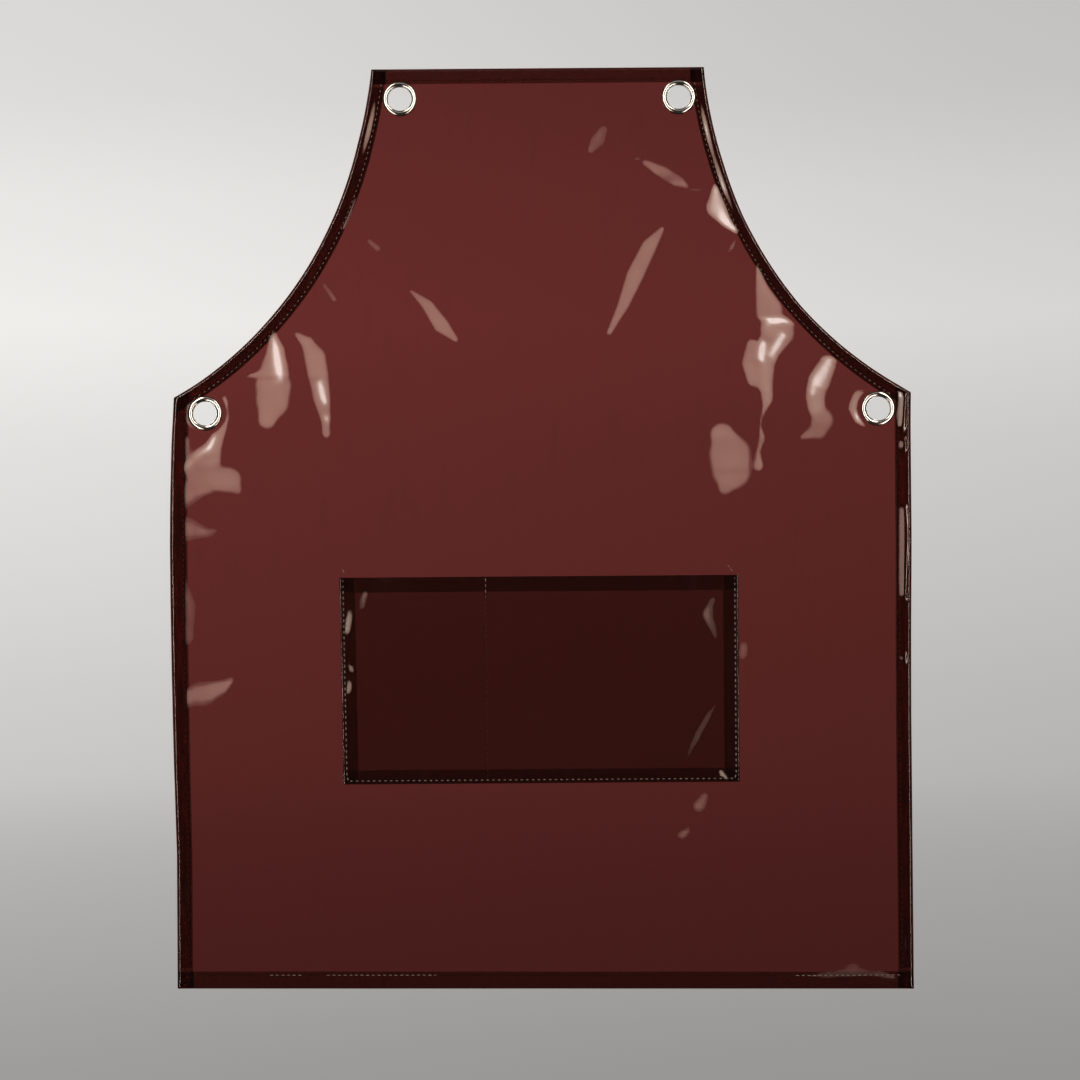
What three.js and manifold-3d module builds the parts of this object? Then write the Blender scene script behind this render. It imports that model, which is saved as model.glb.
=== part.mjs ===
// A bib apron cut from one sheet of tinted clear film, with turned and stitched hems, a divided
// patch pocket and four two-part metal eyelets. It hangs straight down from its neck eyelets.
//
// Millimetres. +Z is up, +X is to the viewer's right and the front faces -Y, so "left" is the left
// as seen from the front. The origin is the hanging point, midway between the neck eyelets.
// Film lies in layers along Y: layer 0 is the body, positive layers lie behind it, negative in front.

import * as THREE from "three";
import { mergeVertices } from "three/addons/utils/BufferGeometryUtils.js";
import Module from "manifold-3d";

const wasm = await Module();
wasm.setup();

// Outline of the body
const APRON_HEIGHT = 828; // top edge to bottom edge
const BIB_WIDTH = 298; // top edge
const WAIST_WIDTH = 660; // between the two waist corners
const SKIRT_WIDTH = 662; // bottom edge
const ARMHOLE_HEIGHT = 294; // bib corner down to waist corner
const BIB_HANDLE = [0.05, 0.38]; // how far the armhole keeps its bib direction, in shares of its span
const WAIST_HANDLE = [0.62, 0.22]; // the same at the waist corner

// Film and thread
const FILM = 0.5; // thickness of the film
const LAYER_GAP = 0.3; // air between two layers, and between loose pieces
const THREAD = 0.5; // width and thickness of a line of stitches
const SEAM_SETBACK = 3; // from a hem's raw edge back to its line of stitches

// Hems, measured from the folded edge to the raw edge
const TOP_HEM = 13;
const ARMHOLE_HEM = 12.75;
const SIDE_HEM = 13.5;
const BOTTOM_HEM = 15;

// Pocket
const POCKET_WIDTH = 356;
const POCKET_HEIGHT = 186;
const POCKET_DROP = 457; // apron's top edge down to the pocket's mouth
const POCKET_HEM = 13.5; // turned edge along the mouth
const POCKET_SIDE_TURNING = 13.5; // turned edges at the left and right
const POCKET_FOOT_TURNING = 12.5; // turned edge along the bottom
const POCKET_SEAM_INSET = 3; // pocket's edge to its line of stitches
const DIVIDER_INSET = 129.5; // pocket's left edge to the line that divides it
const DIVIDER_FLAT = 6; // width that the dividing stitches hold flat
const SMALL_BAY_GAPE = 8; // how far the mouth stands off in the left compartment
const LARGE_BAY_GAPE = 11; // and in the right one

// Eyelets: a flanged barrel set from the front and a washer at the back
const BORE_RADIUS = 10.75;
const BARREL_WALL = 0.6;
const FLANGE_WIDTH = 4.75; // from the bore out to the flange's rim
const FLANGE_CROWN = 1.7; // height of the domed flange
const WASHER_THICKNESS = 0.8;
const CURL_WIDTH = 2.65; // from the bore out to the rim of the rolled end
const CURL_CROWN = 0.75; // height of the rolled end
const EYELET_CLEARANCE = 1; // flange's rim to the nearest line of stitches

// Fineness
const ARMHOLE_STEPS = 32;
const ROUND_STEPS = 32;
const ARC_STEPS = 3;
const SMALL_BAY_STEPS = 8;
const LARGE_BAY_STEPS = 12;
const POCKET_RISE_STEPS = 6;

// Worked out from the above
const LAYER_PITCH = FILM + LAYER_GAP;
const HEM_LAYER = 1;
const TURNING_LAYER = -1;
const POCKET_LAYER = -2;
const OVERRUN = 6; // how far a cutting shape runs past what it cuts

const FLANGE_RADIUS = BORE_RADIUS + FLANGE_WIDTH;
const BARREL_RADIUS = BORE_RADIUS + BARREL_WALL;
const PUNCH_RADIUS = BARREL_RADIUS + LAYER_GAP;
const EYELET_ROOM = FLANGE_RADIUS + EYELET_CLEARANCE;

const TOP_SEAM = TOP_HEM - SEAM_SETBACK;
const ARMHOLE_SEAM = ARMHOLE_HEM - SEAM_SETBACK;
const SIDE_SEAM = SIDE_HEM - SEAM_SETBACK;
const BOTTOM_SEAM = BOTTOM_HEM - SEAM_SETBACK;

const TOP = TOP_SEAM + EYELET_ROOM;
const BOTTOM = TOP - APRON_HEIGHT;
const WAIST = TOP - ARMHOLE_HEIGHT;

const POCKET_TOP = TOP - POCKET_DROP;
const POCKET_FOOT = POCKET_TOP - POCKET_HEIGHT;
const DIVIDER_X = DIVIDER_INSET - POCKET_WIDTH / 2;

const FILM_MATERIAL = new THREE.MeshStandardMaterial({
  color: 0x5c2826,
  roughness: 0.08,
  metalness: 0,
  transparent: true,
  opacity: 0.86,
});
const FLANGE_MATERIAL = new THREE.MeshStandardMaterial({ color: 0xdedcd8, roughness: 0.1, metalness: 1 });
const WASHER_MATERIAL = new THREE.MeshStandardMaterial({ color: 0xbdbbb6, roughness: 0.3, metalness: 1 });
const THREAD_MATERIAL = new THREE.MeshStandardMaterial({ color: 0x968278, roughness: 0.6, metalness: 0 });

const layerY = (layer) => layer * LAYER_PITCH;
const behindLayer = (layer) => layerY(layer) + FILM / 2 + LAYER_GAP;
const beforeLayer = (layer) => layerY(layer) - FILM / 2 - LAYER_GAP;

const sides = [
  { name: "left", sign: -1 },
  { name: "right", sign: 1 },
];

// ---------------------------------------------------------------- solids

// A closed three.js geometry as a solid that can be joined and cut.
function solidOf(geometry) {
  geometry.deleteAttribute("normal");
  geometry.deleteAttribute("uv");
  const merged = mergeVertices(geometry);
  return new wasm.Manifold(
    new wasm.Mesh({
      numProp: 3,
      vertProperties: merged.getAttribute("position").array,
      triVerts: new Uint32Array(merged.index.array),
    }),
  );
}

function geometryOf(solid) {
  const { vertProperties, triVerts } = solid.getMesh();
  const geometry = new THREE.BufferGeometry();
  geometry.setAttribute("position", new THREE.BufferAttribute(vertProperties, 3));
  geometry.setIndex(new THREE.BufferAttribute(triVerts, 1));
  geometry.computeVertexNormals();
  return geometry;
}

// A flat plate with the given outline in X and Z, between two values of Y.
function plate(outline, front, back) {
  const geometry = new THREE.ExtrudeGeometry(outline, {
    depth: back - front,
    bevelEnabled: false,
    curveSegments: ARMHOLE_STEPS,
  });
  geometry.rotateX(Math.PI / 2);
  geometry.translate(0, back, 0);
  return solidOf(geometry);
}

const filmPlate = (outline, layer) => plate(outline, layerY(layer) - FILM / 2, layerY(layer) + FILM / 2);

function rectangle(left, right, low, high) {
  const points = [
    [left, low],
    [right, low],
    [right, high],
    [left, high],
  ];
  return new THREE.Shape(points.map(([x, z]) => new THREE.Vector2(x, z)));
}

// ---------------------------------------------------------------- outline

// The armhole's edge on one side, from the bib corner down to the waist corner.
function armholeCurve(sign) {
  const run = (WAIST_WIDTH - BIB_WIDTH) / 2;
  const corner = new THREE.Vector2(BIB_WIDTH / 2, TOP);
  const waist = new THREE.Vector2(WAIST_WIDTH / 2, WAIST);
  const points = [
    corner,
    new THREE.Vector2(corner.x + BIB_HANDLE[0] * run, corner.y - BIB_HANDLE[1] * ARMHOLE_HEIGHT),
    new THREE.Vector2(waist.x - WAIST_HANDLE[0] * run, waist.y + WAIST_HANDLE[1] * ARMHOLE_HEIGHT),
    waist,
  ];
  return new THREE.CubicBezierCurve(...points.map((p) => new THREE.Vector2(sign * p.x, p.y)));
}

// Points at a distance inside the armhole's edge, run on past both of its ends.
function armholeInset(sign, distance) {
  const curve = armholeCurve(sign);
  const points = [];
  for (let i = 0; i <= ARMHOLE_STEPS; i++) {
    const t = i / ARMHOLE_STEPS;
    const along = curve.getTangent(t);
    const inward = new THREE.Vector2(sign * along.y, -sign * along.x);
    points.push(curve.getPoint(t).addScaledVector(inward, distance));
    if (i === 0) points.unshift(points[0].clone().addScaledVector(along, -3 * OVERRUN));
    if (i === ARMHOLE_STEPS) points.push(points.at(-1).clone().addScaledVector(along, 3 * OVERRUN));
  }
  return points;
}

// A strip along the armhole, between two distances inside its edge.
function armholeStrip(sign, near, far) {
  return new THREE.Shape([...armholeInset(sign, near), ...armholeInset(sign, far).reverse()]);
}

function apronOutline() {
  const right = armholeCurve(1);
  const left = armholeCurve(-1);
  const outline = new THREE.Shape();
  outline.moveTo(-SKIRT_WIDTH / 2, BOTTOM);
  outline.lineTo(SKIRT_WIDTH / 2, BOTTOM);
  outline.lineTo(right.v3.x, right.v3.y);
  outline.bezierCurveTo(right.v2.x, right.v2.y, right.v1.x, right.v1.y, right.v0.x, right.v0.y);
  outline.lineTo(left.v0.x, left.v0.y);
  outline.bezierCurveTo(left.v1.x, left.v1.y, left.v2.x, left.v2.y, left.v3.x, left.v3.y);
  outline.closePath();
  return outline;
}

// Half the body's width at a height below the waist corners.
function sideEdge(z) {
  const share = (WAIST - z) / (WAIST - BOTTOM);
  return THREE.MathUtils.lerp(WAIST_WIDTH / 2, SKIRT_WIDTH / 2, share);
}

// A strip along one side edge, between two distances inside it.
function sideStrip(sign, near, far, low, high) {
  const points = [
    [sideEdge(high) - near, high],
    [sideEdge(low) - near, low],
    [sideEdge(low) - far, low],
    [sideEdge(high) - far, high],
  ];
  return new THREE.Shape(points.map(([x, z]) => new THREE.Vector2(sign * x, z)));
}

// Where a line of points crosses a value of one coordinate, the other coordinate there.
function crossing(points, known, wanted, value) {
  for (let i = 1; i < points.length; i++) {
    const share = (value - points[i - 1][known]) / (points[i][known] - points[i - 1][known]);
    if (share >= 0 && share <= 1) return THREE.MathUtils.lerp(points[i - 1][wanted], points[i][wanted], share);
  }
  throw new Error(`no point of the line has ${known} = ${value}`);
}

// The flange of each eyelet just clears the two lines of stitches that meet at its corner.
function eyeletPlaces() {
  const line = armholeInset(1, ARMHOLE_SEAM + EYELET_ROOM);
  const neck = { name: "neck", x: crossing(line, "y", "x", 0), z: 0 };
  const waistX = WAIST_WIDTH / 2 - SIDE_SEAM - EYELET_ROOM;
  const waist = { name: "waist", x: waistX, z: crossing(line, "x", "y", waistX) };
  return [neck, waist].flatMap((place) =>
    sides.map((side) => ({ name: `${place.name}_${side.name}`, x: side.sign * place.x, z: place.z })),
  );
}

// ---------------------------------------------------------------- body and hems

function punched(solid) {
  return eyeletPlaces().reduce((rest, place) => {
    const punch = new THREE.CylinderGeometry(PUNCH_RADIUS, PUNCH_RADIUS, 4 * OVERRUN, ROUND_STEPS);
    punch.translate(place.x, 0, place.z);
    return rest.subtract(solidOf(punch));
  }, solid);
}

const bodyPanel = () => punched(filmPlate(apronOutline(), 0));

const hemLayerOf = (outline) => filmPlate(outline, HEM_LAYER).intersect(filmPlate(apronOutline(), HEM_LAYER));

function armholeHem(sign) {
  return punched(hemLayerOf(armholeStrip(sign, -OVERRUN, ARMHOLE_HEM)));
}

// What an armhole's hem takes up, with the gap that its neighbours keep from it.
const armholeHemRoom = (sign) => filmPlate(armholeStrip(sign, -OVERRUN, ARMHOLE_HEM + LAYER_GAP), HEM_LAYER);

function topHem() {
  const band = hemLayerOf(rectangle(-BIB_WIDTH / 2, BIB_WIDTH / 2, TOP - TOP_HEM, TOP));
  return punched(band.subtract(armholeHemRoom(-1)).subtract(armholeHemRoom(1)));
}

function sideHem(sign) {
  const band = hemLayerOf(sideStrip(sign, -OVERRUN, SIDE_HEM, BOTTOM + BOTTOM_HEM + LAYER_GAP, WAIST));
  return punched(band.subtract(armholeHemRoom(sign)));
}

const bottomHem = () => hemLayerOf(rectangle(-SKIRT_WIDTH / 2, SKIRT_WIDTH / 2, BOTTOM, BOTTOM + BOTTOM_HEM));

// ---------------------------------------------------------------- pocket

const bays = [
  {
    left: -POCKET_WIDTH / 2 + POCKET_SIDE_TURNING,
    right: DIVIDER_X - DIVIDER_FLAT / 2,
    gape: SMALL_BAY_GAPE,
    steps: SMALL_BAY_STEPS,
  },
  {
    left: DIVIDER_X + DIVIDER_FLAT / 2,
    right: POCKET_WIDTH / 2 - POCKET_SIDE_TURNING,
    gape: LARGE_BAY_GAPE,
    steps: LARGE_BAY_STEPS,
  },
];

// How far the pocket stands off the body: nothing at its seams, and most at its mouth.
function pocketStandOff(x, z) {
  const floor = POCKET_FOOT + POCKET_FOOT_TURNING;
  const hemFoot = POCKET_TOP - POCKET_HEM;
  const rise = Math.sin((Math.PI / 2) * THREE.MathUtils.clamp((z - floor) / (hemFoot - floor), 0, 1));
  const bay = bays.find(({ left, right }) => x > left && x < right);
  return bay ? bay.gape * rise * Math.sin((Math.PI * (x - bay.left)) / (bay.right - bay.left)) ** 2 : 0;
}

function stepsBetween(from, to, count) {
  return Array.from({ length: count + 1 }, (_, i) => THREE.MathUtils.lerp(from, to, i / count));
}

const bayColumns = () => bays.flatMap((bay) => stepsBetween(bay.left, bay.right, bay.steps));

// A film that follows the pocket's shape, given the X of its columns and the Z of its rows.
function pocketFilm(columns, rows, layer) {
  const [across, up] = [columns.length - 1, rows.length - 1];
  const geometry = new THREE.BoxGeometry(1, 1, 1, across, 1, up);
  const position = geometry.getAttribute("position");
  for (let i = 0; i < position.count; i++) {
    const x = columns[Math.round((position.getX(i) + 0.5) * across)];
    const z = rows[Math.round((position.getZ(i) + 0.5) * up)];
    position.setXYZ(i, x, layerY(layer) + FILM * position.getY(i) - pocketStandOff(x, z), z);
  }
  return solidOf(geometry);
}

function pocketPanel() {
  const columns = [-POCKET_WIDTH / 2, ...bayColumns(), POCKET_WIDTH / 2];
  const bellied = stepsBetween(POCKET_FOOT + POCKET_FOOT_TURNING, POCKET_TOP - POCKET_HEM, POCKET_RISE_STEPS);
  return pocketFilm(columns, [POCKET_FOOT, ...bellied, POCKET_TOP], POCKET_LAYER);
}

function pocketHem() {
  const columns = bayColumns();
  columns[0] += LAYER_GAP;
  columns[columns.length - 1] -= LAYER_GAP;
  return pocketFilm(columns, [POCKET_TOP - POCKET_HEM, POCKET_TOP], TURNING_LAYER);
}

function pocketSideTurning(sign) {
  const edge = (sign * POCKET_WIDTH) / 2;
  const inner = edge - sign * POCKET_SIDE_TURNING;
  return filmPlate(rectangle(edge, inner, POCKET_FOOT, POCKET_TOP), TURNING_LAYER);
}

function pocketFootTurning() {
  const half = POCKET_WIDTH / 2 - POCKET_SIDE_TURNING - LAYER_GAP;
  return filmPlate(rectangle(-half, half, POCKET_FOOT, POCKET_FOOT + POCKET_FOOT_TURNING), TURNING_LAYER);
}

// ---------------------------------------------------------------- eyelets

function turned(profile, place) {
  const geometry = new THREE.LatheGeometry(profile.getPoints(ARC_STEPS), ROUND_STEPS);
  geometry.translate(place.x, 0, place.z);
  return solidOf(geometry);
}

function eyelet(place) {
  const flangeFoot = beforeLayer(0);
  const curlFoot = behindLayer(HEM_LAYER) + WASHER_THICKNESS + LAYER_GAP;
  const flangeMiddle = BORE_RADIUS + FLANGE_WIDTH / 2;
  const curlMiddle = BORE_RADIUS + CURL_WIDTH / 2;
  const profile = new THREE.Path();
  profile.moveTo(BARREL_RADIUS, flangeFoot);
  profile.lineTo(BARREL_RADIUS, curlFoot);
  profile.lineTo(BORE_RADIUS + CURL_WIDTH, curlFoot);
  profile.absellipse(curlMiddle, curlFoot, CURL_WIDTH / 2, CURL_CROWN, 0, Math.PI, false);
  profile.lineTo(BORE_RADIUS, flangeFoot);
  profile.absellipse(flangeMiddle, flangeFoot, FLANGE_WIDTH / 2, FLANGE_CROWN, Math.PI, 2 * Math.PI, false);
  profile.lineTo(BARREL_RADIUS, flangeFoot);
  return turned(profile, place);
}

// The rolled end covers the inner part of the washer, and the rest is left bare to bear on.
function washer(place) {
  const front = behindLayer(HEM_LAYER);
  const back = front + WASHER_THICKNESS;
  const bare = BORE_RADIUS + CURL_WIDTH + LAYER_GAP;
  const profile = new THREE.Path();
  profile.moveTo(PUNCH_RADIUS, front);
  profile.lineTo(FLANGE_RADIUS, front);
  profile.lineTo(FLANGE_RADIUS, back);
  profile.lineTo(bare, back);
  profile.lineTo(PUNCH_RADIUS, back);
  profile.lineTo(PUNCH_RADIUS, front);
  return turned(profile, place);
}

// ---------------------------------------------------------------- stitches

const strip = (inset) => [inset - THREAD / 2, inset + THREAD / 2];

// The highest point of a side's line of stitches, just short of the armhole's.
function sideSeamTop() {
  const seam = armholeInset(1, ARMHOLE_SEAM);
  return crossing(seam, "x", "y", WAIST_WIDTH / 2 - SIDE_SEAM) - 2 * THREAD;
}

function topSeam() {
  const seam = armholeInset(1, ARMHOLE_SEAM);
  const half = crossing(seam, "y", "x", TOP - TOP_SEAM) - 2 * THREAD;
  return rectangle(-half, half, TOP - TOP_SEAM - THREAD / 2, TOP - TOP_SEAM + THREAD / 2);
}

function armholeSeam(sign) {
  const reach = WAIST_WIDTH / 2 - SIDE_SEAM;
  const line = armholeInset(1, ARMHOLE_SEAM);
  const ends = [{ y: TOP - TOP_SEAM }, { x: reach, y: crossing(line, "x", "y", reach) }];
  ends[0].x = crossing(line, "y", "x", ends[0].y);
  const between = ({ y }) => y < ends[0].y && y > ends[1].y;
  const row = (inset) => {
    const points = armholeInset(1, inset).filter(between);
    return points.map(({ x, y }) => new THREE.Vector2(sign * x, y));
  };
  const [near, far] = strip(ARMHOLE_SEAM);
  return new THREE.Shape([...row(near), ...row(far).reverse()]);
}

function sideSeam(sign) {
  return sideStrip(sign, ...strip(SIDE_SEAM), BOTTOM + BOTTOM_SEAM + 2 * THREAD, sideSeamTop());
}

function bottomSeam() {
  const half = sideEdge(BOTTOM) - SIDE_SEAM;
  return rectangle(-half, half, BOTTOM + BOTTOM_SEAM - THREAD / 2, BOTTOM + BOTTOM_SEAM + THREAD / 2);
}

// One line of stitches down the left of the pocket, along its foot and up its right.
function pocketSeam() {
  const [outer, inner] = strip(POCKET_SEAM_INSET);
  const [wide, narrow] = [POCKET_WIDTH / 2 - outer, POCKET_WIDTH / 2 - inner];
  const [low, floor, high] = [POCKET_FOOT + outer, POCKET_FOOT + inner, POCKET_TOP - THREAD];
  const points = [
    [-wide, high],
    [-wide, low],
    [wide, low],
    [wide, high],
    [narrow, high],
    [narrow, floor],
    [-narrow, floor],
    [-narrow, high],
  ];
  return new THREE.Shape(points.map(([x, z]) => new THREE.Vector2(x, z)));
}

function dividerSeam() {
  const low = POCKET_FOOT + POCKET_SEAM_INSET + 2 * THREAD;
  return rectangle(DIVIDER_X - THREAD / 2, DIVIDER_X + THREAD / 2, low, POCKET_TOP - THREAD);
}

const seams = () => [
  { name: "top_hem", outline: topSeam(), front: 0, back: HEM_LAYER },
  ...sides.flatMap(({ name, sign }) => [
    { name: `armhole_${name}`, outline: armholeSeam(sign), front: 0, back: HEM_LAYER },
    { name: `side_${name}`, outline: sideSeam(sign), front: 0, back: HEM_LAYER },
  ]),
  { name: "bottom_hem", outline: bottomSeam(), front: 0, back: HEM_LAYER },
  { name: "pocket_edge", outline: pocketSeam(), front: POCKET_LAYER, back: 0 },
  { name: "pocket_divider", outline: dividerSeam(), front: POCKET_LAYER, back: 0 },
];

const needleThread = ({ outline, front }) => plate(outline, beforeLayer(front) - THREAD, beforeLayer(front));

const bobbinThread = ({ outline, back }) => plate(outline, behindLayer(back), behindLayer(back) + THREAD);

// ---------------------------------------------------------------- assembly

const apron = new THREE.Group();

function add(name, solid, material) {
  const mesh = new THREE.Mesh(geometryOf(solid), material);
  mesh.name = name;
  apron.add(mesh);
}

add("body_panel", bodyPanel(), FILM_MATERIAL);
add("top_hem", topHem(), FILM_MATERIAL);
add("bottom_hem", bottomHem(), FILM_MATERIAL);
for (const { name, sign } of sides) {
  add(`armhole_hem_${name}`, armholeHem(sign), FILM_MATERIAL);
  add(`side_hem_${name}`, sideHem(sign), FILM_MATERIAL);
  add(`pocket_side_turning_${name}`, pocketSideTurning(sign), FILM_MATERIAL);
}
add("pocket_panel", pocketPanel(), FILM_MATERIAL);
add("pocket_mouth_hem", pocketHem(), FILM_MATERIAL);
add("pocket_foot_turning", pocketFootTurning(), FILM_MATERIAL);
for (const place of eyeletPlaces()) {
  add(`eyelet_${place.name}`, eyelet(place), FLANGE_MATERIAL);
  add(`washer_${place.name}`, washer(place), WASHER_MATERIAL);
}
for (const seam of seams()) {
  add(`needle_thread_${seam.name}`, needleThread(seam), THREAD_MATERIAL);
  add(`bobbin_thread_${seam.name}`, bobbinThread(seam), THREAD_MATERIAL);
}

export default apron;
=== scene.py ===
import math

import bpy
import numpy as np
from bpy.props import FloatProperty, FloatVectorProperty, PointerProperty
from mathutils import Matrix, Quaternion, Vector


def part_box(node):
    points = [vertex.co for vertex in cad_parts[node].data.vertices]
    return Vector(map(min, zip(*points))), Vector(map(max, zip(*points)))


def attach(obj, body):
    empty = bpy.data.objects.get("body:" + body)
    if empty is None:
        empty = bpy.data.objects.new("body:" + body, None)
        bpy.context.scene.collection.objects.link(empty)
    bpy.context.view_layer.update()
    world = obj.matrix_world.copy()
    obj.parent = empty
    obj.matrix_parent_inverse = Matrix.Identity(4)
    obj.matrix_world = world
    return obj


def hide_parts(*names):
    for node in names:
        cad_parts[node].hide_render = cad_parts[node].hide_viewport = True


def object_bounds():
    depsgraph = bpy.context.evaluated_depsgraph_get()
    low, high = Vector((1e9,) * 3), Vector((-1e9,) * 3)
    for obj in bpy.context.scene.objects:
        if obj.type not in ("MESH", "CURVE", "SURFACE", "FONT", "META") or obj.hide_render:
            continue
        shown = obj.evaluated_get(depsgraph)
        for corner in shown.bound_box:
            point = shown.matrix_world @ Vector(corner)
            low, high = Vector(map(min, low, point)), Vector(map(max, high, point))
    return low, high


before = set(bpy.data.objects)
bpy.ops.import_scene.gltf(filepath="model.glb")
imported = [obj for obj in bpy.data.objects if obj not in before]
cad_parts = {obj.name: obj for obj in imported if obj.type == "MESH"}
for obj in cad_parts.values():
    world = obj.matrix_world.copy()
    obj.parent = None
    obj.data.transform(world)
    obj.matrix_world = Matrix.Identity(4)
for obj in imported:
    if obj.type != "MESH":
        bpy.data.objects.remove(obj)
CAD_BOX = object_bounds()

bl_info = {
    "name": "Clear film butcher apron",
    "version": (1, 0, 0),
    "blender": (4, 5, 0),
    "location": "View3D > Sidebar > Apron",
    "description": "Makes a bib apron of tinted clear film with a divided pocket and metal eyelets",
    "category": "Add Mesh",
}

MM = 0.001
FRONT, BACK = -1, 1  # the apron's front faces -Y
SIDES = {"left": -1, "right": 1}
EYELETS = ["neck_left", "neck_right", "waist_left", "waist_right"]
BIB_HANDLE = (0.05, 0.38)  # how far the armhole keeps its bib direction, in shares of its span
WAIST_HANDLE = (0.62, 0.22)  # the same at the waist corner
GRID = 1.5 * MM  # spacing of the height map that the film hangs in
MARGIN = 20 * MM  # how far the height map reaches past the apron
LAYER_GAP = 0.3 * MM  # between one layer and the next in the frame

BODY_LO, BODY_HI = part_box("body_panel")
POCKET_LO, POCKET_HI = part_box("pocket_panel")
HEM_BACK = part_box("top_hem")[1].y
TURNING_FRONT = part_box("pocket_side_turning_left")[0].y


# ---------------------------------------------------------------- sizes and colours


class ApronSizes(bpy.types.PropertyGroup):
    """Sizes of the apron that the frame leaves open."""

    film: FloatProperty(
        name="Film thickness",
        description="Thickness of the clear film",
        default=BODY_HI.y - BODY_LO.y,
        unit="LENGTH",
        precision=5,
    )
    bib_width: FloatProperty(
        name="Bib width", description="Width of the top edge", default=298 * MM, unit="LENGTH"
    )
    waist_width: FloatProperty(
        name="Waist width", description="Between the waist corners", default=660 * MM, unit="LENGTH"
    )
    armhole_height: FloatProperty(
        name="Armhole height",
        description="From the top edge down to the waist corners",
        default=294 * MM,
        unit="LENGTH",
    )
    top_hem: FloatProperty(
        name="Top hem", description="From the top fold to the raw edge", default=13 * MM, unit="LENGTH"
    )
    armhole_hem: FloatProperty(
        name="Armhole hem",
        description="From the armhole's fold to the raw edge",
        default=12.75 * MM,
        unit="LENGTH",
    )
    side_hem: FloatProperty(
        name="Side hem", description="From the side fold to the raw edge", default=13.5 * MM, unit="LENGTH"
    )
    bottom_hem: FloatProperty(
        name="Bottom hem", description="From the bottom fold to the raw edge", default=15 * MM, unit="LENGTH"
    )
    seam_setback: FloatProperty(
        name="Seam setback",
        description="From a hem's raw edge back to its line of stitches",
        default=3 * MM,
        unit="LENGTH",
    )
    puff: FloatProperty(
        name="Puff of the folds",
        description="How far a folded edge swells in front of the film",
        default=1.25 * MM,
        unit="LENGTH",
        precision=5,
    )
    pocket_gape: FloatProperty(
        name="Pocket gape",
        description="Share of the frame's gape that the hanging pocket takes up",
        default=0.42,
        subtype="FACTOR",
        min=0,
        max=1,
    )
    pocket_seam: FloatProperty(
        name="Pocket seam",
        description="From the pocket's edge to its line of stitches",
        default=3 * MM,
        unit="LENGTH",
    )
    stitch_pitch: FloatProperty(
        name="Stitch pitch", description="From one stitch to the next", default=5.1 * MM, unit="LENGTH"
    )
    stitch_length: FloatProperty(
        name="Stitch length", description="Length of thread that shows", default=3.0 * MM, unit="LENGTH"
    )
    thread: FloatProperty(
        name="Thread", description="Thickness of the thread", default=0.55 * MM, unit="LENGTH", precision=5
    )
    bore: FloatProperty(
        name="Eyelet bore", description="Diameter of the eyelets' hole", default=21.5 * MM, unit="LENGTH"
    )
    barrel_wall: FloatProperty(
        name="Barrel wall",
        description="Thickness of the eyelet's metal",
        default=0.6 * MM,
        unit="LENGTH",
        precision=5,
    )


class ApronLooks(bpy.types.PropertyGroup):
    """Colours and finishes of the apron."""

    first_tint: FloatVectorProperty(
        name="Film tint",
        description="Light that one face of the body film lets through",
        default=(0.395, 0.172, 0.163),
        subtype="COLOR",
        min=0,
        max=1,
    )
    layer_tint: FloatVectorProperty(
        name="Tint of a further layer",
        description="Light that one face of each further layer lets through",
        default=(0.575, 0.53, 0.49),
        subtype="COLOR",
        min=0,
        max=1,
    )
    film_depth: FloatVectorProperty(
        name="Film body colour",
        description="Colour of the little that the film scatters",
        default=(0.005, 0.0012, 0.001),
        subtype="COLOR",
        min=0,
        max=1,
    )
    nickel: FloatVectorProperty(
        name="Nickel",
        description="Polished plate of the eyelets",
        default=(0.88, 0.865, 0.84),
        subtype="COLOR",
    )
    thread_colour: FloatVectorProperty(
        name="Thread", description="Colour of the thread", default=(0.3, 0.24, 0.2), subtype="COLOR"
    )
    backdrop: FloatVectorProperty(
        name="Backdrop", description="Pale backdrop and floor", default=(0.8, 0.785, 0.765), subtype="COLOR"
    )


def sizes():
    return bpy.context.scene.apron_sizes


def looks():
    return bpy.context.scene.apron_looks


# ---------------------------------------------------------------- the cut


def smooth(value):
    """0 below 0, 1 above 1 and a smooth step between."""
    value = np.clip(value, 0, 1)
    return value * value * (3 - 2 * value)


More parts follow.
